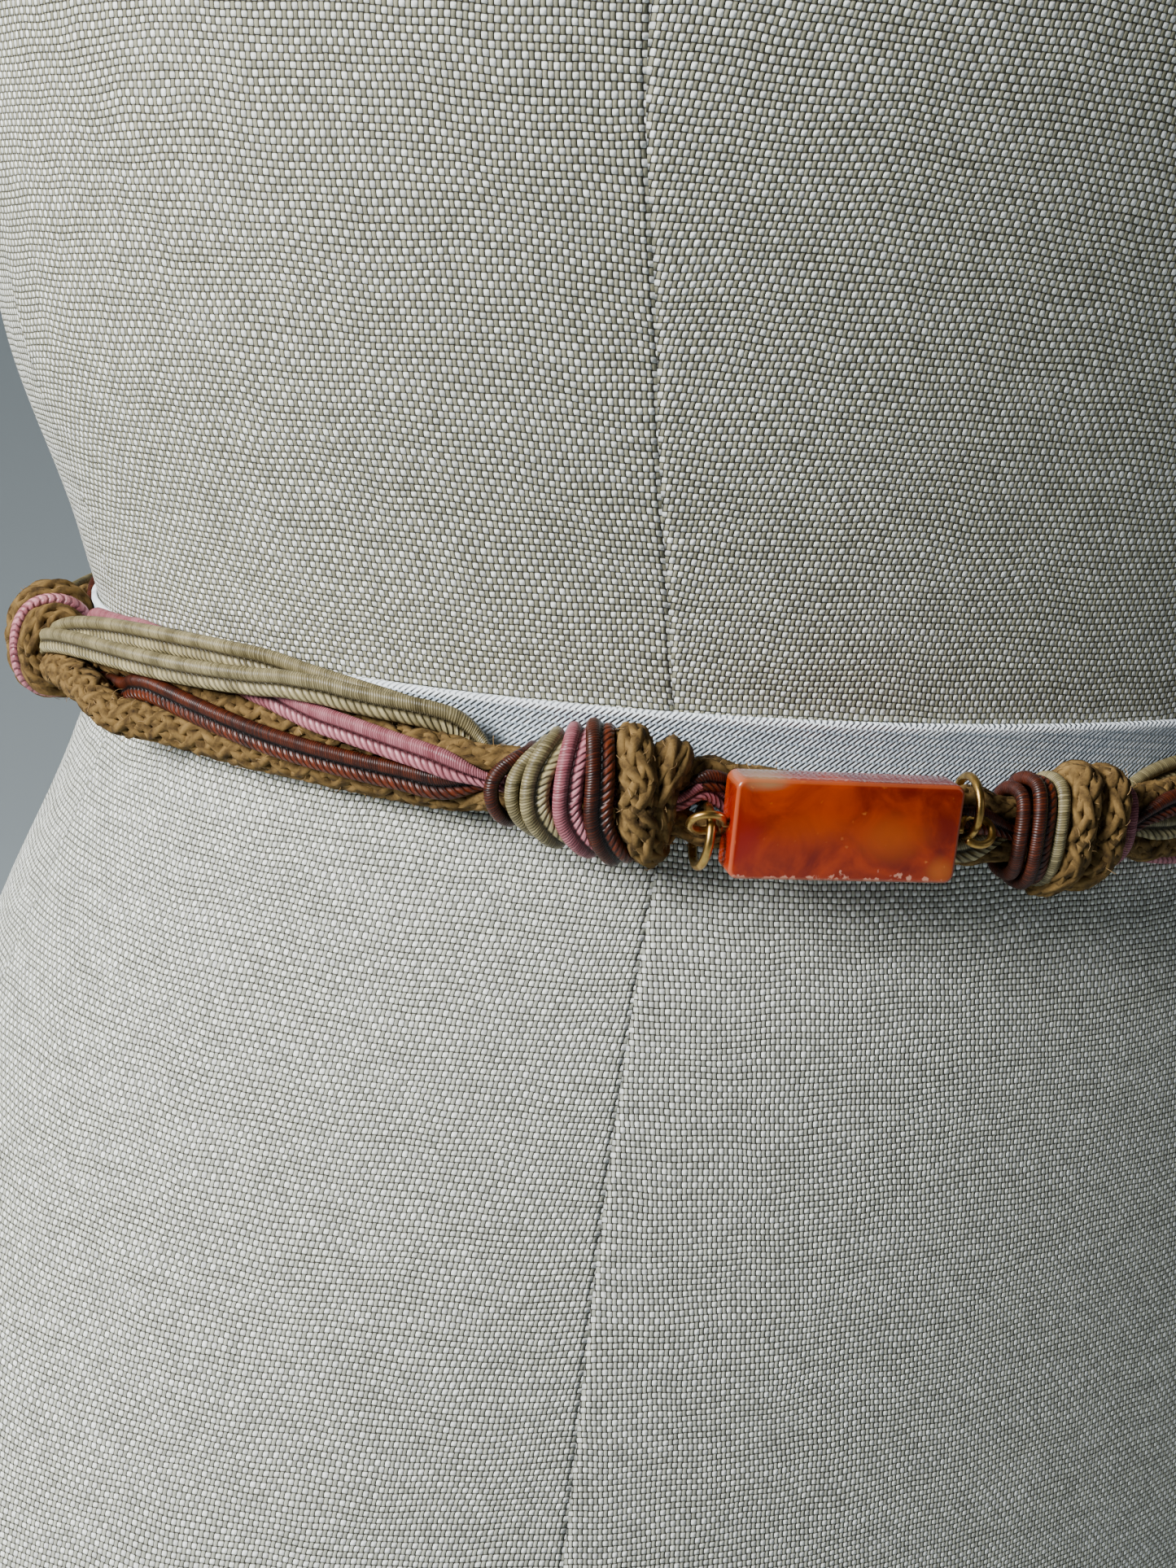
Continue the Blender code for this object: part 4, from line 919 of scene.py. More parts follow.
def silk_braid(name, painted_shade, body, bright):
    """Soutache of wrapped silk: one ridge wound in fine even turns, the other in slanting stitches, each
    with a painted highlight, and painted shade in the crease between the ridges and between the stitches."""
    material, tree = new_material(name)
    place = add(tree, "ShaderNodeUVMap", uv_map="yarn")
    parts = add(tree, SPLIT, (place,), None)
    wobble = add(tree, NOISE, {"Vector": place, "Scale": 0.7, "Detail": 2.0})
    run = add(tree, MATH, (wobble, 0.35, parts["X"]), operation="MULTIPLY_ADD")
    ridges = []
    for slant, pitch in ((STITCH_SLANT, STITCH_PITCH), (WINDING_SLANT, WINDING_PITCH)):
        mark = add(tree, MATH, (parts["Y"], slant, run), operation="MULTIPLY_ADD")
        mark = add(tree, MATH, (mark, pitch), operation="DIVIDE")
        ridges.append(add(tree, MATH, (mark,), operation="FLOOR"))
        ridges.append(add(tree, MATH, (mark, 0.5), operation="PINGPONG"))
    number, stitch, turns, turn = ridges
    stitch = add(tree, MAP_RANGE, {"Value": stitch, "From Max": 0.34}, **SMOOTH)
    turn = add(tree, MATH, (turn, 0.5), operation="MULTIPLY")
    stitched = add(tree, MAP_RANGE, {"Value": parts["Y"], "From Min": 0.05, "From Max": -0.1})
    relief = add(tree, MIX, {0: stitched, 2: turn, 3: stitch})
    crease = add(tree, MATH, (parts["Y"],), operation="ABSOLUTE")
    crease = add(tree, MAP_RANGE, {"Value": crease, "From Min": 0.08, "From Max": 0.5}, **SMOOTH)
    index = add(tree, MIX, {0: stitched, 2: turns, 3: number})
    own = add(tree, WHITE_NOISE, {"W": index}, noise_dimensions="1D")
    patch = add(tree, NOISE, {"Vector": place, "Scale": 0.16, "Detail": 2.0})
    light = add(tree, MATH, (own, 0.45, patch), operation="MULTIPLY_ADD")
    # Painted highlight: the raised stitches and turns are lightened, over a tone that differs at random from
    # stitch to stitch and in patches.
    light = add(tree, MATH, (relief, 0.3, light), operation="MULTIPLY_ADD")
    light = add(tree, MAP_RANGE, {"Value": light, "From Min": 0.4, "From Max": 1.25})
    tone = add(tree, MIX, {0: light, 6: linear(body), 7: linear(bright)}, **COLOUR)
    # Painted shade: the crease between the ridges and the gaps between the stitches and turns are darkened
    # towards the painted shade colour.
    free_of_painted_shade = add(tree, MAP_RANGE, {"Value": relief, "From Max": 0.22, "To Min": 0.35})
    free_of_painted_shade = add(tree, MATH, (free_of_painted_shade, crease), operation="MULTIPLY")
    tone = add(tree, MIX, {0: free_of_painted_shade, 6: linear(painted_shade), 7: tone}, **COLOUR)
    normal = add(tree, "ShaderNodeBump", {"Strength": 1.0, "Distance": 0.17 * MM, "Height": relief})
    finish = {"Base Color": tone, "Roughness": 0.42, "Normal": normal, "Specular IOR Level": 0.3}
    return finish_material(material, finish)


def agate():
    """Polished agate: glassy, cloudy orange in depth, redder at its left end, with a pale corner and rim."""
    material, tree = new_material("polished_agate")
    face = add(tree, "ShaderNodeUVMap", uv_map="stone")
    spot = add(tree, COORDINATES, output="Object")
    cloudy = {"Scale": 150.0, "Detail": 5.0, "Roughness": 0.6, "Distortion": 0.8}
    cloud = add(tree, NOISE, {"Vector": spot, **cloudy})
    fine = add(tree, NOISE, {"Vector": spot, "Scale": 900.0, "Detail": 4.0})
    ramp = add(tree, MAP_RANGE, {"Value": cloud, "From Min": 0.3, "From Max": 0.72}, **SMOOTH)
    tone = add(tree, MIX, {0: ramp, 6: linear("#6b1000"), 7: linear("#a33300")}, **COLOUR)
    for at, reach, colour, share in AGATE_ZONES:
        away = add(tree, VECTOR_MATH, (face, (*at, 0.0)), operation="SUBTRACT")
        away = add(tree, VECTOR_MATH, (away, (1 / reach[0], 1 / reach[1], 0.0)), operation="MULTIPLY")
        away = add(tree, VECTOR_MATH, (away,), "Value", operation="LENGTH")
        away = add(tree, MATH, (cloud, 1.1, away), operation="MULTIPLY_ADD")
        near = {"Value": away, "From Min": 1.7, "From Max": 0.7, "To Max": share}
        near = add(tree, MAP_RANGE, near, **SMOOTH)
        tone = add(tree, MIX, {0: near, 6: tone, 7: linear(colour)}, **COLOUR)
    flecks = add(tree, MAP_RANGE, {"Value": fine, "From Min": 0.68, "From Max": 0.78, "To Max": 0.35})
    tone = add(tree, MIX, {0: flecks, 6: tone, 7: linear("#e08a3c")}, **COLOUR)
    up = add(tree, SPLIT, (face,), "Y")
    edge = {"From Min": 0.3, "From Max": 2.2, "To Min": 0.19, "To Max": -0.1}
    chips = add(tree, MAP_RANGE, {"Value": up, **edge})
    chips = add(tree, MATH, (fine, chips), operation="ADD")
    chips = add(tree, MAP_RANGE, {"Value": chips, "From Min": 0.68, "From Max": 0.73, "To Max": 0.85})
    tone = add(tree, MIX, {0: chips, 6: tone, 7: linear("#cf9078")}, **COLOUR)
    rim = add(tree, ATTRIBUTE, output="Fac", attribute_name="rim")
    rough = add(tree, MATH, (rim, 0.35, 0.1), operation="MULTIPLY_ADD")
    tone = add(tree, MIX, {0: rim, 6: tone, 7: linear("#a8552f")}, **COLOUR)
    normal = add(tree, "ShaderNodeBump", {"Strength": 0.15, "Distance": 0.05 * MM, "Height": fine})
    finish = {"Base Color": tone, "Roughness": rough, "IOR": 1.54, "Normal": normal}
    finish |= {"Coat Weight": 0.05, "Coat Roughness": 0.05, "Subsurface Weight": 0.1}
    finish |= {"Subsurface Radius": (1.0, 0.35, 0.12), "Subsurface Scale": 1.2 * MM}
    return finish_material(material, finish)


def brass():
    """Drawn brass wire, long handled: yellow metal, dulled and browner in soft patches."""
    material, tree = new_material("drawn_brass_wire")
    spot = add(tree, COORDINATES, output="Object")
    patch = add(tree, NOISE, {"Vector": spot, "Scale": 600.0, "Detail": 4.0})
    patch = add(tree, MAP_RANGE, {"Value": patch, "From Min": 0.35, "From Max": 0.65})
    tone = add(tree, MIX, {0: patch, 6: linear("#8a6630"), 7: linear("#d2ab63")}, **COLOUR)
    rough = add(tree, MATH, (patch, -0.16, 0.42), operation="MULTIPLY_ADD")
    return finish_material(material, {"Base Color": tone, "Metallic": 1.0, "Roughness": rough})


def seam_angles(height):
    """The angles of the cover's seams at a height, from one side of the centre back round to the other."""
    square = form_section(height)[-1]
    rows = np.array(SEAM_RUN)
    front = math.asin(smooth_through(rows[:, 0], rows[:, 1], height) ** (square / 2))
    back = math.pi - math.asin(smooth_through(rows[:, 0], rows[:, 2], height) ** (square / 2))
    return [-math.pi, -back, -math.pi / 2, -front, front, math.pi / 2, back, math.pi]


def make_form(material):
    """The dress form, closed at the base and the neck, its cover laid out in seven panels."""
    heights = [np.arange(start, stop, step) for start, stop, step in FORM_ROWS]
    heights = np.concatenate([*heights, [NECK_TOP]])
    rings, across, beside, climb = [], [], [], []
    for height in heights:
        edges = seam_angles(height)
        angles, panel_ends = [], [0]
        for k, count in enumerate(PANEL_COLUMNS):
            angles.append(np.linspace(edges[k], edges[k + 1], count, endpoint=False))
            panel_ends.append(panel_ends[-1] + count)
        angles = np.concatenate(angles)
        ring = form_point(angles, np.full(len(angles), height))
        rings.append(ring)
        lengths = np.linalg.norm(np.roll(ring, -1, axis=0) - ring, axis=1)
        run = np.concatenate([[0.0], np.cumsum(lengths)])
        left, right = [], []
        for k, count in enumerate(PANEL_COLUMNS):
            start, end = run[panel_ends[k]], run[panel_ends[k + 1]]
            here = run[panel_ends[k] : panel_ends[k] + count]
            after = run[panel_ends[k] + 1 : panel_ends[k] + count + 1]
            middle = (start + end) / 2
            left += list(zip(here - middle + PANELS_APART * k, np.minimum(here - start, end - here)))
            right += list(zip(after - middle + PANELS_APART * k, np.minimum(after - start, end - after)))
        across.append(left)
        beside.append(right)
        climb.append(height)
    sides = len(rings[0])
    for lift, share in NECK_CLOSE:
        ring = rings[len(heights) - 1] * (share, share, 1.0) + (0.0, 0.0, lift)
        rings.append(ring)
        across.append(across[len(heights) - 1])
        beside.append(beside[len(heights) - 1])
        climb.append(NECK_TOP + lift + NECK_CLOSE_CLOTH * (1 - share))
    points = np.concatenate(rings)
    faces = grid_faces(len(rings), sides, False, True)
    cloth, seam = [], []
    for face in faces:
        row, column = divmod(face[0], sides)
        for step, source in ((row, across), (row, beside), (row + 1, beside), (row + 1, across)):
            u, near = source[step][column]
            cloth.append((u, climb[step]))
            seam.append((near, climb[step]))
    base = tuple(range(sides))[::-1]
    crown = tuple(range((len(rings) - 1) * sides, len(rings) * sides))
    for cap, step in ((base, 0), (crown, len(rings) - 1)):
        faces.append(cap)
        for index in cap:
            x, y, _ = points[index]
            cloth.append((x, y))
            seam.append((FAR_FROM_SEAMS, climb[step]))
    thing = new_mesh_object("form_cover", points, faces, material)
    paint_uv(thing, "cloth", cloth)
    paint_uv(thing, "seam", seam)
    thing.data.set_sharp_from_angle(angle=math.radians(50.0))
    return dress(thing, "form_linen", "form_body")


def make_tape(material):
    """The waist tape, a closed band laid round the form."""
    low = TAPE_TOP - TAPE_WIDTH
    angle = np.arange(TAPE_COLUMNS) / TAPE_COLUMNS * math.tau
    rings = [form_point(angle, np.full(TAPE_COLUMNS, low + up), out) for out, up in TAPE_SECTION]
    points = np.stack(rings, axis=1).reshape(-1, 3)
    columns = len(TAPE_SECTION)
    faces = grid_faces(TAPE_COLUMNS, columns, True, True)
    middle = rings[columns // 2]
    edge = np.linalg.norm(np.roll(middle, -1, axis=0) - middle, axis=1)
    run = np.concatenate([[0.0], np.cumsum(edge)])
    corner_uv = []
    for face in faces:
        row, column = divmod(face[0], columns)
        other = (column + 1) % columns
        for step, side in ((row, column), (row, other), (row + 1, other), (row + 1, column)):
            corner_uv.append((run[step], TAPE_SECTION[side][1]))
    thing = new_mesh_object("waist_tape", points, faces, material)
    paint_uv(thing, "cloth", corner_uv)
    dress(thing, "tape_twill", "waist_tape")
    return thing


def braid_outline():
    """A soutache braid's section, two ridges side by side, with how far across the braid each point is."""
    turn = np.radians(RIDGE_CORNERS)
    ridge = RIDGE_RADIUS * np.stack([np.cos(turn), np.sin(turn)], -1) + (0.0, RIDGE_SHIFT)
    front = np.concatenate([ridge, [[RIDGE_RADIUS * CREASE_SHARE, 0.0]], (ridge * (1, -1))[::-1]])
    back = (front[1:-1] * (-1, 1))[::-1]
    section = np.concatenate([front, back])
    widths = np.append(section[:, 1], section[0, 1])
    return section, widths


def make_braid(cord, run, material):
    """One soutache braid, from the middle of the first knot to the middle of the last."""
    section, widths = braid_outline()
    along, out, height, tight = run
    path = WAIST.place(along, out, height)
    _, across, over = path_frames(path, np.array([[0.0, 0.0, 1.0]]), False)
    part = path, across, over, section, widths, tight, False
    thing = sweep(f"{cord}_braid", [part], material)
    return dress(thing, f"{cord.split('_')[0]}_silk", f"{cord}_braid")


def around(turn, front, top, back, bottom):
    """A value round a knot that takes the four given ones at its front, top, back and bottom."""
    ahead, above = np.cos(turn), np.sin(turn)
    value = np.where(ahead > 0, front, back) * ahead**2
    return value + np.where(above > 0, top, bottom) * above**2


def wrap_path(knot, wrap, count):
    """The middle line of one turn of a knot, and the way out from the knot at each of its points."""
    turn = np.arange(count) / count * math.tau
    side = -1 if knot.mirrored else 1
    along = knot.at + side * around(turn, wrap.front, wrap.top, wrap.back, wrap.bottom)
    ahead, above = np.cos(turn), np.sin(turn)
    power = 2 / KNOT_ROUNDNESS
    out = wrap.depth * np.sign(ahead) * np.abs(ahead) ** power
    up = wrap.height * np.sign(above) * np.abs(above) ** power
    path = WAIST.place(along, KNOT_OUT + out, WAIST_HEIGHT + knot.drop + up)
    _, _, outward, upward = local_axes(knot.at)
    away = ahead[:, None] * outward / wrap.depth + above[:, None] * upward / wrap.height
    return path, away / np.linalg.norm(away, axis=1)[:, None]


def make_wraps(knot, materials, plait):
    """Makes the turns of one knot, each in place of its CAD node, and gives the plaited ones."""
    wraps = WRAPS[knot.kind]
    lean = math.radians(-WRAP_LEAN if knot.mirrored else WRAP_LEAN)
    ropes = []
    for node in dict.fromkeys(wrap.node for wrap in wraps):
        rows = [wrap for wrap in wraps if wrap.node == node]
        stands_for = f"{knot.name}_{node}"
        name = f"{stands_for}_wrap"
        if rows[0].form == "rope":
            path, _ = wrap_path(knot, rows[0], WRAP_ROPE_POINTS)
            thing = make_rope(name, path, np.full(len(path), WRAP_ROPE_SIZE), True, plait)
            ropes.append(dress(thing, "tan_cotton", stands_for))
            continue
        parts = []
        for wrap in rows:
            path, away = wrap_path(knot, wrap, WRAP_POINTS)
            _, across, over = path_frames(path, away, True)
            section, widths = (braid_outline if wrap.form == "pair" else ridge_outline)()
            width_way = across * math.cos(lean) + over * math.sin(lean)
            out_way = over * math.cos(lean) - across * math.sin(lean)
            parts.append((path, out_way, width_way, section, widths, np.ones(len(path)), True))
        cord = rows[0].cord
        dress(sweep(name, parts, materials[cord]), f"{cord}_silk", stands_for)
    return ropes


def ridge_outline():
    """The section of a braid's one ridge where the other is tucked under it."""
    turn = np.arange(RIDGE_SIDES) / RIDGE_SIDES * math.tau
    section = RIDGE_RADIUS * np.stack([np.cos(turn), np.sin(turn)], -1)
    widths = np.append(section[:, 1], section[0, 1])
    return section, widths + RIDGE_SHIFT


def bight_line(end):
    """The rope's turn beyond an end knot, from its upper run round to its lower one."""
    # Each row has a place along the belt, a height above its middle line and a tightness.
    edge = KNOT_AT[-1] + KNOTS[-1].right
    rows = [(KNOT_AT[-1] + 1, ROPE_SLOT, 0.6), (edge, ROPE_SLOT, 0.62)]
    rows.append((BIGHT_AT - 4, BIGHT_RADIUS - 0.7, 0.95))
    for turn in np.radians(np.linspace(90.0, -90.0, 13)):
        rows.append((BIGHT_AT + BIGHT_RADIUS * math.cos(turn), BIGHT_RADIUS * math.sin(turn), 1.0))
    rows += [(along, -up, tight) for along, up, tight in rows[2::-1]]
    along, up, tight = np.array(rows).T
    points = WAIST.place(along * end, np.full(len(along), KNOT_OUT), WAIST_HEIGHT + up)
    return (points, tight) if end > 0 else (points[::-1], tight[::-1])


def evaluated(thing, tree, values):
    """Replaces a mesh by what a node tree makes of it."""
    modifier = thing.modifiers.new("make", "NODES")
    modifier.node_group = tree
    for item in tree.interface.items_tree:
        if item.in_out == "INPUT" and item.name in values:
            modifier[item.identifier] = values[item.name]
    depsgraph = bpy.context.evaluated_depsgraph_get()
    mesh = bpy.data.meshes.new_from_object(thing.evaluated_get(depsgraph))
    thing.modifiers.remove(modifier)
    thing.data = mesh
    return thing


def new_tree(name, sockets):
    """A node tree for geometry with these numbers as its inputs, and what its input node gives."""
    tree = bpy.data.node_groups.new(name, "GeometryNodeTree")
    tree.interface.new_socket("Geometry", in_out="INPUT", socket_type="NodeSocketGeometry")
    tree.interface.new_socket("Geometry", in_out="OUTPUT", socket_type="NodeSocketGeometry")
    for socket in sockets:
        tree.interface.new_socket(socket, in_out="INPUT", socket_type="NodeSocketFloat")
    return tree, add(tree, "NodeGroupInput", output=None)


def plait_tree(material):
    """Turns a line into a rope: two sets of yarns wind round it in opposite ways, over two and under two."""
    tree, given = new_tree("Plait", ("Step", "Pitch", "Radius", "Wave", "Yarn radius", "Unevenness"))
    line = add(tree, "GeometryNodeMeshToCurve", {"Mesh": given["Geometry"]})
    line = add(tree, "GeometryNodeResampleCurve", {"Curve": line, "Length": given["Step"]}, mode="LENGTH")
    length = add(tree, "GeometryNodeSplineLength")
    turns = add(tree, MATH, (length, given["Pitch"]), operation="DIVIDE")
    turns = add(tree, MATH, (turns,), operation="ROUND")
    factor = add(tree, "GeometryNodeSplineParameter")
    winding = add(tree, MATH, (turns, factor), operation="MULTIPLY")
    winding = add(tree, MATH, (winding, math.tau), operation="MULTIPLY")
    run = add(tree, "GeometryNodeSplineParameter", output=1)
    for name, kind, value in (
        ("winding", "FLOAT", winding),
        ("run", "FLOAT", run),
        ("normal", "FLOAT_VECTOR", add(tree, "GeometryNodeInputNormal")),
        ("tangent", "FLOAT_VECTOR", add(tree, "GeometryNodeInputTangent")),
    ):
        point = {"Geometry": line, "Name": name, "Value": value}
        line = add(tree, STORE, point, data_type=kind, domain="POINT")
    copies = {"Geometry": line, "Amount": 2 * YARNS}
    copies = add(tree, "GeometryNodeDuplicateElements", copies, None, domain="SPLINE")
    strand = {"Geometry": copies["Geometry"], "Name": "strand", "Value": copies["Duplicate Index"]}
    line = add(tree, STORE, strand, data_type="FLOAT", domain="CURVE")
    strand, winding, tight = [
        add(tree, STORED, {"Name": name}, data_type="FLOAT") for name in ("strand", "winding", "tight")
    ]
    normal, tangent = [
        add(tree, STORED, {"Name": name}, data_type="FLOAT_VECTOR") for name in ("normal", "tangent")
    ]
    second = add(tree, MATH, (strand, YARNS - 0.5), operation="GREATER_THAN")
    way = add(tree, MATH, (second, -2.0, 1.0), operation="MULTIPLY_ADD")
    phase = add(tree, MATH, (strand, math.tau / YARNS), operation="MULTIPLY")
    angle = add(tree, MATH, (way, winding, phase), operation="MULTIPLY_ADD")
    weave = add(tree, MATH, (winding, YARNS / 2, -math.pi / 4), operation="MULTIPLY_ADD")
    weave = add(tree, MATH, (weave,), operation="COSINE")
    weave = add(tree, MATH, (weave, way), operation="MULTIPLY")
    radius = add(tree, MATH, (weave, given["Wave"], given["Radius"]), operation="MULTIPLY_ADD")
    radius = add(tree, MATH, (radius, tight), operation="MULTIPLY")
    side = add(tree, VECTOR_MATH, (tangent, normal), operation="CROSS_PRODUCT")
    for way_out, share in ((normal, "COSINE"), (side, "SINE")):
        amount = add(tree, MATH, (angle,), operation=share)
        amount = add(tree, MATH, (amount, radius), operation="MULTIPLY")
        offset = add(tree, VECTOR_MATH, {0: way_out, "Scale": amount}, operation="SCALE")
        line = add(tree, "GeometryNodeSetPosition", {"Geometry": line, "Offset": offset})
    uneven = add(tree, NOISE, {"Scale": 330.0, "Detail": 1.0}, "Color")
    uneven = add(tree, VECTOR_MATH, (uneven, (0.5, 0.5, 0.5)), operation="SUBTRACT")
    uneven = add(tree, VECTOR_MATH, {0: uneven, "Scale": given["Unevenness"]}, operation="SCALE")
    line = add(tree, "GeometryNodeSetPosition", {"Geometry": line, "Offset": uneven})
    line = add(tree, "GeometryNodeSetCurveRadius", {"Curve": line, "Radius": tight})
    outline = add(tree, CIRCLE, {"Resolution": 5, "Radius": given["Yarn radius"]}, mode="RADIUS")
    corner = {"Geometry": outline, "Name": "round", "Value": add(tree, "GeometryNodeInputPosition")}
    outline = add(tree, STORE, corner, data_type="FLOAT_VECTOR", domain="POINT")
    mesh = add(tree, "GeometryNodeCurveToMesh", {"Curve": line, "Profile Curve": outline})
    mesh = add(tree, "GeometryNodeSetShadeSmooth", {"Geometry": mesh})
    mesh = add(tree, "GeometryNodeRealizeInstances", {"Geometry": mesh})
    mesh = add(tree, "GeometryNodeSetMaterial", {"Geometry": mesh, "Material": material})
    add(tree, "NodeGroupOutput", (mesh,), None)
    return tree


def make_rope(name, path, tight, closed, plait):
    """A plaited rope along a path, drawn tighter where tight is less than 1."""
    count = len(path)
    edges = [(k, (k + 1) % count) for k in range(count if closed else count - 1)]
    line = new_mesh_object(name, path, [], edges=edges)
    layer = line.data.attributes.new("tight", "FLOAT", "POINT")
    layer.data.foreach_set("value", np.asarray(tight, np.float32))
    values = {
        "Step": PLAIT_STEP * MM,
        "Pitch": PLAIT_PITCH * MM,
        "Radius": PLAIT_RADIUS * MM,
        "Wave": PLAIT_WAVE * MM,
        "Yarn radius": YARN_RADIUS * MM,
        "Unevenness": PLAIT_UNEVENNESS * MM,
    }
    return evaluated(line, plait, values)


def make_tan_rope(runs, plait):
    """The one rope: its upper run, and its lower run with the turns beyond the end knots."""
    along, out, height, tight = runs["tan_upper"]
    first = make_rope("tan_rope_upper", WAIST.place(along, out, height), tight, False, plait)
    along, out, height, tight = runs["tan_lower"]
    lower = WAIST.place(along, out, height)
    right, right_tight = bight_line(1)
    left, left_tight = bight_line(-1)
    path = np.concatenate([right[:-1], lower[::-1][1:-1], left[1:]])
    tight = np.concatenate([right_tight[:-1], tight[::-1][1:-1], left_tight[1:]])
    second = make_rope("tan_rope_lower", path, tight, False, plait)
    dress(first, "tan_cotton", "tan_rope")
    dress(second, "tan_cotton", "tan_rope")
    return first, second


def fibre_tree(material):
    """Sets short bent fibres all over a mesh, most of them lying down."""
    tree, given = new_tree("Fibres", ("Density", "Length", "Radius"))
    spots = {"Mesh": given["Geometry"], "Density": given["Density"], "Seed": 7}
    spots = add(tree, "GeometryNodeDistributePointsOnFaces", spots, None)
    # A fibre's tip and the bend in its middle, as shares of its length.
    tip = add(tree, VECTOR_MATH, {0: (0.35, 0.0, 0.9), "Scale": given["Length"]}, operation="SCALE")
    bend = add(tree, VECTOR_MATH, {0: (-0.1, 0.18, 0.5), "Scale": given["Length"]}, operation="SCALE")
    fibre = {"Resolution": 2, "Start": (0.0, 0.0, 0.0), "Middle": bend, "End": tip}
    fibre = add(tree, "GeometryNodeCurveQuadraticBezier", fibre)
    outline = add(tree, CIRCLE, {"Resolution": 3, "Radius": given["Radius"]}, mode="RADIUS")
    fibre = add(tree, "GeometryNodeCurveToMesh", {"Curve": fibre, "Profile Curve": outline})
    lean = {"Min": (0.0, 0.7, 0.0), "Max": (0.0, 1.45, math.tau), "Seed": 3}
    lean = add(tree, "FunctionNodeRandomValue", lean, data_type="FLOAT_VECTOR")
    lean = add(tree, "FunctionNodeEulerToRotation", (lean,))
    turned = add(tree, "FunctionNodeRotateRotation", (spots["Rotation"], lean), rotation_space="LOCAL")
    size = add(tree, "FunctionNodeRandomValue", {2: 0.4, 3: 1.5, "Seed": 5}, 1, data_type="FLOAT")
    fibres = {"Points": spots["Points"], "Instance": fibre, "Rotation": turned, "Scale": size}
    fibres = add(tree, "GeometryNodeInstanceOnPoints", fibres)
    mesh = add(tree, "GeometryNodeRealizeInstances", {"Geometry": fibres})
    mesh = add(tree, "GeometryNodeSetMaterial", {"Geometry": mesh, "Material": material})
    add(tree, "NodeGroupOutput", (mesh,), None)
    return tree


def make_fibres(ropes, material):
    """The loose fibres that stand up from all of the tan rope."""
    whole = bmesh.new()
    for rope in ropes:
        whole.from_mesh(rope.data)
    mesh = bpy.data.meshes.new("rope_fibres")
    whole.to_mesh(mesh)
    whole.free()
    thing = new_object("rope_fibres", mesh)
    values = {"Density": FIBRES_PER_MM2 / MM**2, "Length": FIBRE_LENGTH * MM, "Radius": FIBRE_RADIUS * MM}
    evaluated(thing, fibre_tree(material), values)
    return dress(thing, "tan_cotton")


def wire(name, path, thickness, material, closed, upright):
    """A round wire along a path, in place of the CAD node of the same name."""
    radius = thickness / 2
    turn = np.arange(WIRE_SIDES) / WIRE_SIDES * math.tau
    section = np.stack([np.cos(turn), np.sin(turn)], -1) * radius
    path = np.asarray(path)
    _, across, over = path_frames(path, np.asarray(upright)[None, :], closed)
    widths = np.append(turn, math.tau) * radius
    part = path, across, over, section, widths, np.ones(len(path)), closed
    thing = sweep(f"{name}_wire", [part], material)
    return dress(thing, "brass_wire", name)


def make_ring(ring, material):
    """A jump ring, closed, round its cords and through the eye of the stone's wire."""
    along, out, up = ring_middle(ring)
    middle, onward, outward, upward = local_axes(along)
    middle = middle + outward * out + upward * up
    turn, tip = math.radians(ring.turn), math.radians(ring.tip)
    first = outward * math.cos(turn) + onward * math.sin(turn)
    second = upward * math.cos(tip) + np.cross(first, upward) * math.sin(tip)
    angle = np.arange(64) / 64 * math.tau
    path = middle + RING_RADIUS * (np.cos(angle)[:, None] * first + np.sin(angle)[:, None] * second)
    return wire(ring.name, path, RING_WIRE, material, True, np.cross(first, second))


def make_stone_wire(material):
    """The wire through the stone's bore, bent to an eye at each end."""
    middle, onward, outward, upward = stone_axes()
    slant = math.radians(EYE_SLANT)
    path = []
    for end in (-1, 1):
        centre = eye_middle(end)
        rise = upward * math.cos(slant) - outward * math.sin(slant) * end
        angle = np.radians(np.linspace(0.0, EYE_TURN, 33))[:, None]
        eye = centre + EYE_RADIUS * (rise * np.sin(angle) - onward * end * np.cos(angle))
        mouth = middle + onward * end * (STONE_LENGTH / 2 - WIRE_IN_BORE)
        path += [*eye[::-1], mouth] if end < 0 else [mouth, *eye]
    return wire("stone_wire", path, EYE_WIRE, material, False, outward)


def make_hook(material):
    """The S-shaped wire hook that goes through the rope's bight at both ends of the belt."""
    half = WAIST.half()
    offset = half - BIGHT_AT - BIGHT_RADIUS
    path = []
    for end, start, stop in ((-1, -35.0, -270.0), (1, -90.0, 145.0)):
        for angle in np.radians(np.linspace(start, stop, 30)):
            along = half + end * offset + HOOK_RADIUS * math.cos(angle)
            path.append(WAIST.place(along, KNOT_OUT + HOOK_RADIUS * math.sin(angle), WAIST_HEIGHT))
    return wire("hook", path, HOOK_WIRE, material, False, (0.0, 0.0, 1.0))


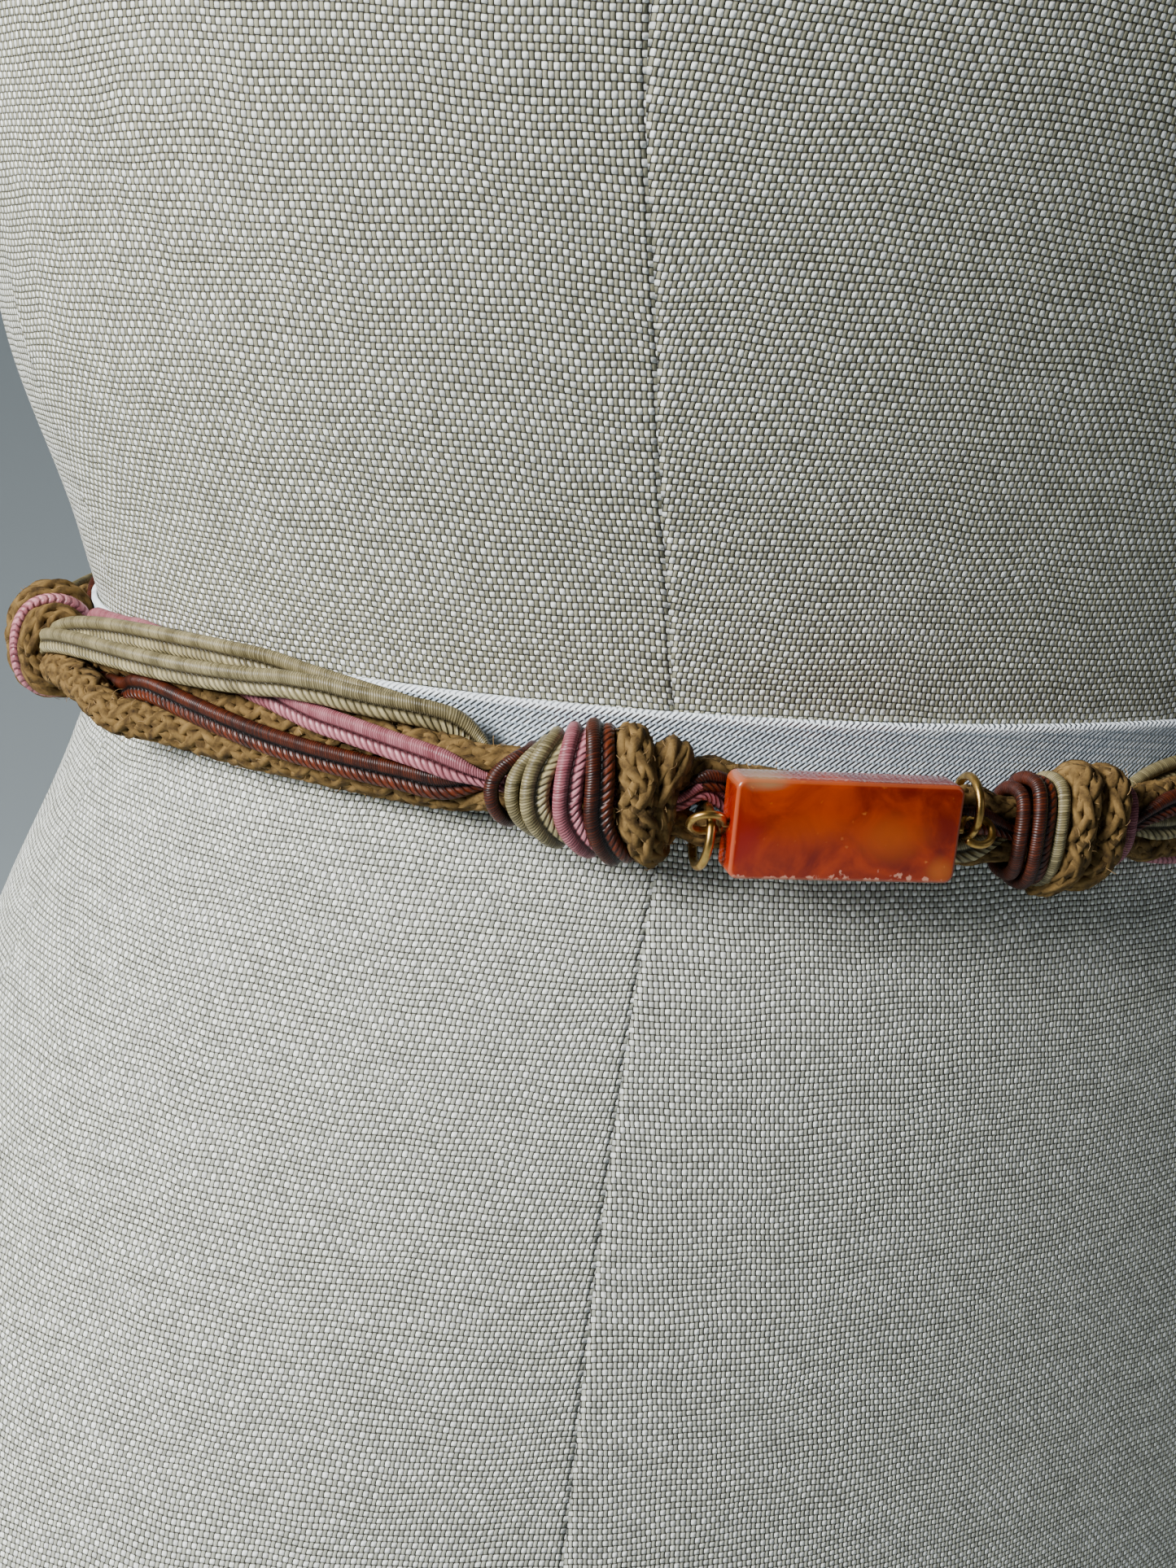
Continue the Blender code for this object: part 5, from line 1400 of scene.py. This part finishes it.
def make_stone(material):
    """The stone: a flat bar of agate with rounded edges, chipped along its lower front edge."""
    middle, onward, outward, upward = stone_axes()
    block = bmesh.new()
    bmesh.ops.create_cube(block, size=1.0)
    for vertex in block.verts:
        vertex.co.x *= STONE_LENGTH + STONE_LEFT_EXTRA
        vertex.co.y *= STONE_DEPTH
        vertex.co.z *= STONE_HEIGHT
    corners = [edge for edge in block.edges if abs(edge.verts[0].co.y - edge.verts[1].co.y) > 1.0]
    bmesh.ops.bevel(block, geom=corners, offset=STONE_CORNER, segments=5, profile=0.5, affect="EDGES")
    rims = [edge for edge in block.edges if edge.calc_face_angle(0.0) > 1.0]
    bmesh.ops.bevel(block, geom=rims, offset=STONE_RIM, segments=4, profile=0.5, affect="EDGES")
    points = np.array([vertex.co for vertex in block.verts])
    faces = [tuple(vertex.index for vertex in face.verts) for face in block.faces]
    block.free()
    middle = middle - onward * STONE_LEFT_EXTRA / 2
    placed = middle + points[:, :1] * onward - points[:, 1:2] * outward + points[:, 2:] * upward
    thing = new_mesh_object("agate_stone", placed, faces, material)
    flat = []
    for face in faces:
        for index in face:
            flat.append((points[index][0] + STONE_LENGTH / 2, points[index][2] + STONE_HEIGHT / 2))
    paint_uv(thing, "stone", flat)
    half = np.array([STONE_LENGTH + STONE_LEFT_EXTRA, STONE_DEPTH, STONE_HEIGHT]) / 2
    on_face = np.any(np.abs(points) > half - 1e-3, axis=1)
    rim = thing.data.attributes.new("rim", "FLOAT", "POINT")
    rim.data.foreach_set("value", np.where(on_face, 0.0, 0.5).astype(np.float32))
    thing.data.set_sharp_from_angle(angle=math.radians(60.0))
    return dress(thing, "agate", "stone")


def make_stage():
    """A pale floor that curves up into the wall behind the form."""
    profile = [(FLOOR_START, 0.0), (BEND_START, 0.0)]
    for turn in np.radians(np.linspace(-80.0, 0.0, 9)):
        profile.append((BEND_START + BEND_RADIUS * math.cos(turn), BEND_RADIUS * (1 + math.sin(turn))))
    profile.append((BEND_START + BEND_RADIUS, WALL_TOP))
    points = [(side, back, up) for side in (-STAGE_HALF_WIDTH, STAGE_HALF_WIDTH) for back, up in profile]
    count = len(profile)
    faces = [(k, k + 1, count + k + 1, count + k) for k in range(count - 1)]
    wall = new_mesh_object("floor_and_wall", points, faces, backdrop_paper())
    for name, at, size, power, colour in LIGHTS:
        lamp = bpy.data.lights.new(name, "AREA")
        lamp.shape = "RECTANGLE"
        lamp.size, lamp.size_y = (side * MM for side in size)
        lamp.energy = power
        lamp.spread = math.radians(LAMP_SPREAD)
        lamp.color = linear(colour)[:3]
        new_object(name, lamp).matrix_world = look_matrix(at, np.subtract(LIGHTS_AIM, at))
    world = bpy.data.worlds.new("studio")
    world.use_nodes = True
    sky = world.node_tree.nodes["Background"]
    sky.inputs["Color"].default_value = linear(SKY)
    sky.inputs["Strength"].default_value = SKY_STRENGTH
    bpy.context.scene.world = world


def look_matrix(at, towards, roll=0.0):
    """The placing of a camera or lamp that looks one way from a point in millimetres."""
    ahead = towards / np.linalg.norm(towards)
    right = np.cross(ahead, (0.0, 0.0, 1.0))
    right /= np.linalg.norm(right)
    up = np.cross(right, ahead)
    turn = math.radians(roll)
    across = right * math.cos(turn) + up * math.sin(turn)
    over = up * math.cos(turn) - right * math.sin(turn)
    rows = np.eye(4)
    rows[:3, 0] = across
    rows[:3, 1] = over
    rows[:3, 2] = -ahead
    rows[:3, 3] = np.asarray(at) * MM
    return Matrix(rows.tolist())


def make_camera():
    """The camera, where the photograph was taken from."""
    camera = bpy.data.cameras.new("photo_camera")
    camera.sensor_width = SENSOR_WIDTH
    camera.lens = SENSOR_WIDTH * LENS_PIXELS / max(PHOTO_WIDTH, PHOTO_HEIGHT)
    camera.clip_start = 0.01
    thing = new_object("photo_camera", camera)
    yaw, down = math.radians(CAMERA_YAW), math.radians(CAMERA_DOWN)
    ahead = np.array([math.sin(yaw) * math.cos(down), math.cos(yaw) * math.cos(down), -math.sin(down)])
    thing.matrix_world = look_matrix(CAMERA_AT, ahead, CAMERA_ROLL)
    bpy.context.scene.camera = thing


def main():
    """Makes the materials, then the form, the belt's pieces, the floor, the lamps and the camera."""
    # Each silk is given its painted shade colour, its body colour and its light colour, which also carries
    # the painted highlights.
    silks = {
        "brown": silk_braid("brown_silk_soutache", "#090201", "#220903", "#5f260d"),
        "pink": silk_braid("pink_silk_soutache", "#431a1f", "#7c3d44", "#bf7a82"),
        "champagne": silk_braid("champagne_silk_soutache", "#3c341f", "#4f462b", "#ab9d72"),
    }
    cotton = cotton_yarn()
    wire_metal = brass()
    make_form(linen())
    make_tape(cotton_twill())
    runs = cord_runs()
    plait = plait_tree(cotton)
    ropes = list(make_tan_rope(runs, plait))
    for cord in CORDS[2:]:
        make_braid(cord, runs[cord], silks[cord.split("_")[0]])
    for knot in KNOTS:
        ropes += make_wraps(knot, silks, plait)
    make_fibres(ropes, cotton_fibre())
    make_stone(agate())
    make_stone_wire(wire_metal)
    for ring in RINGS:
        make_ring(ring, wire_metal)
    make_hook(wire_metal)
    make_stage()
    make_camera()


main()
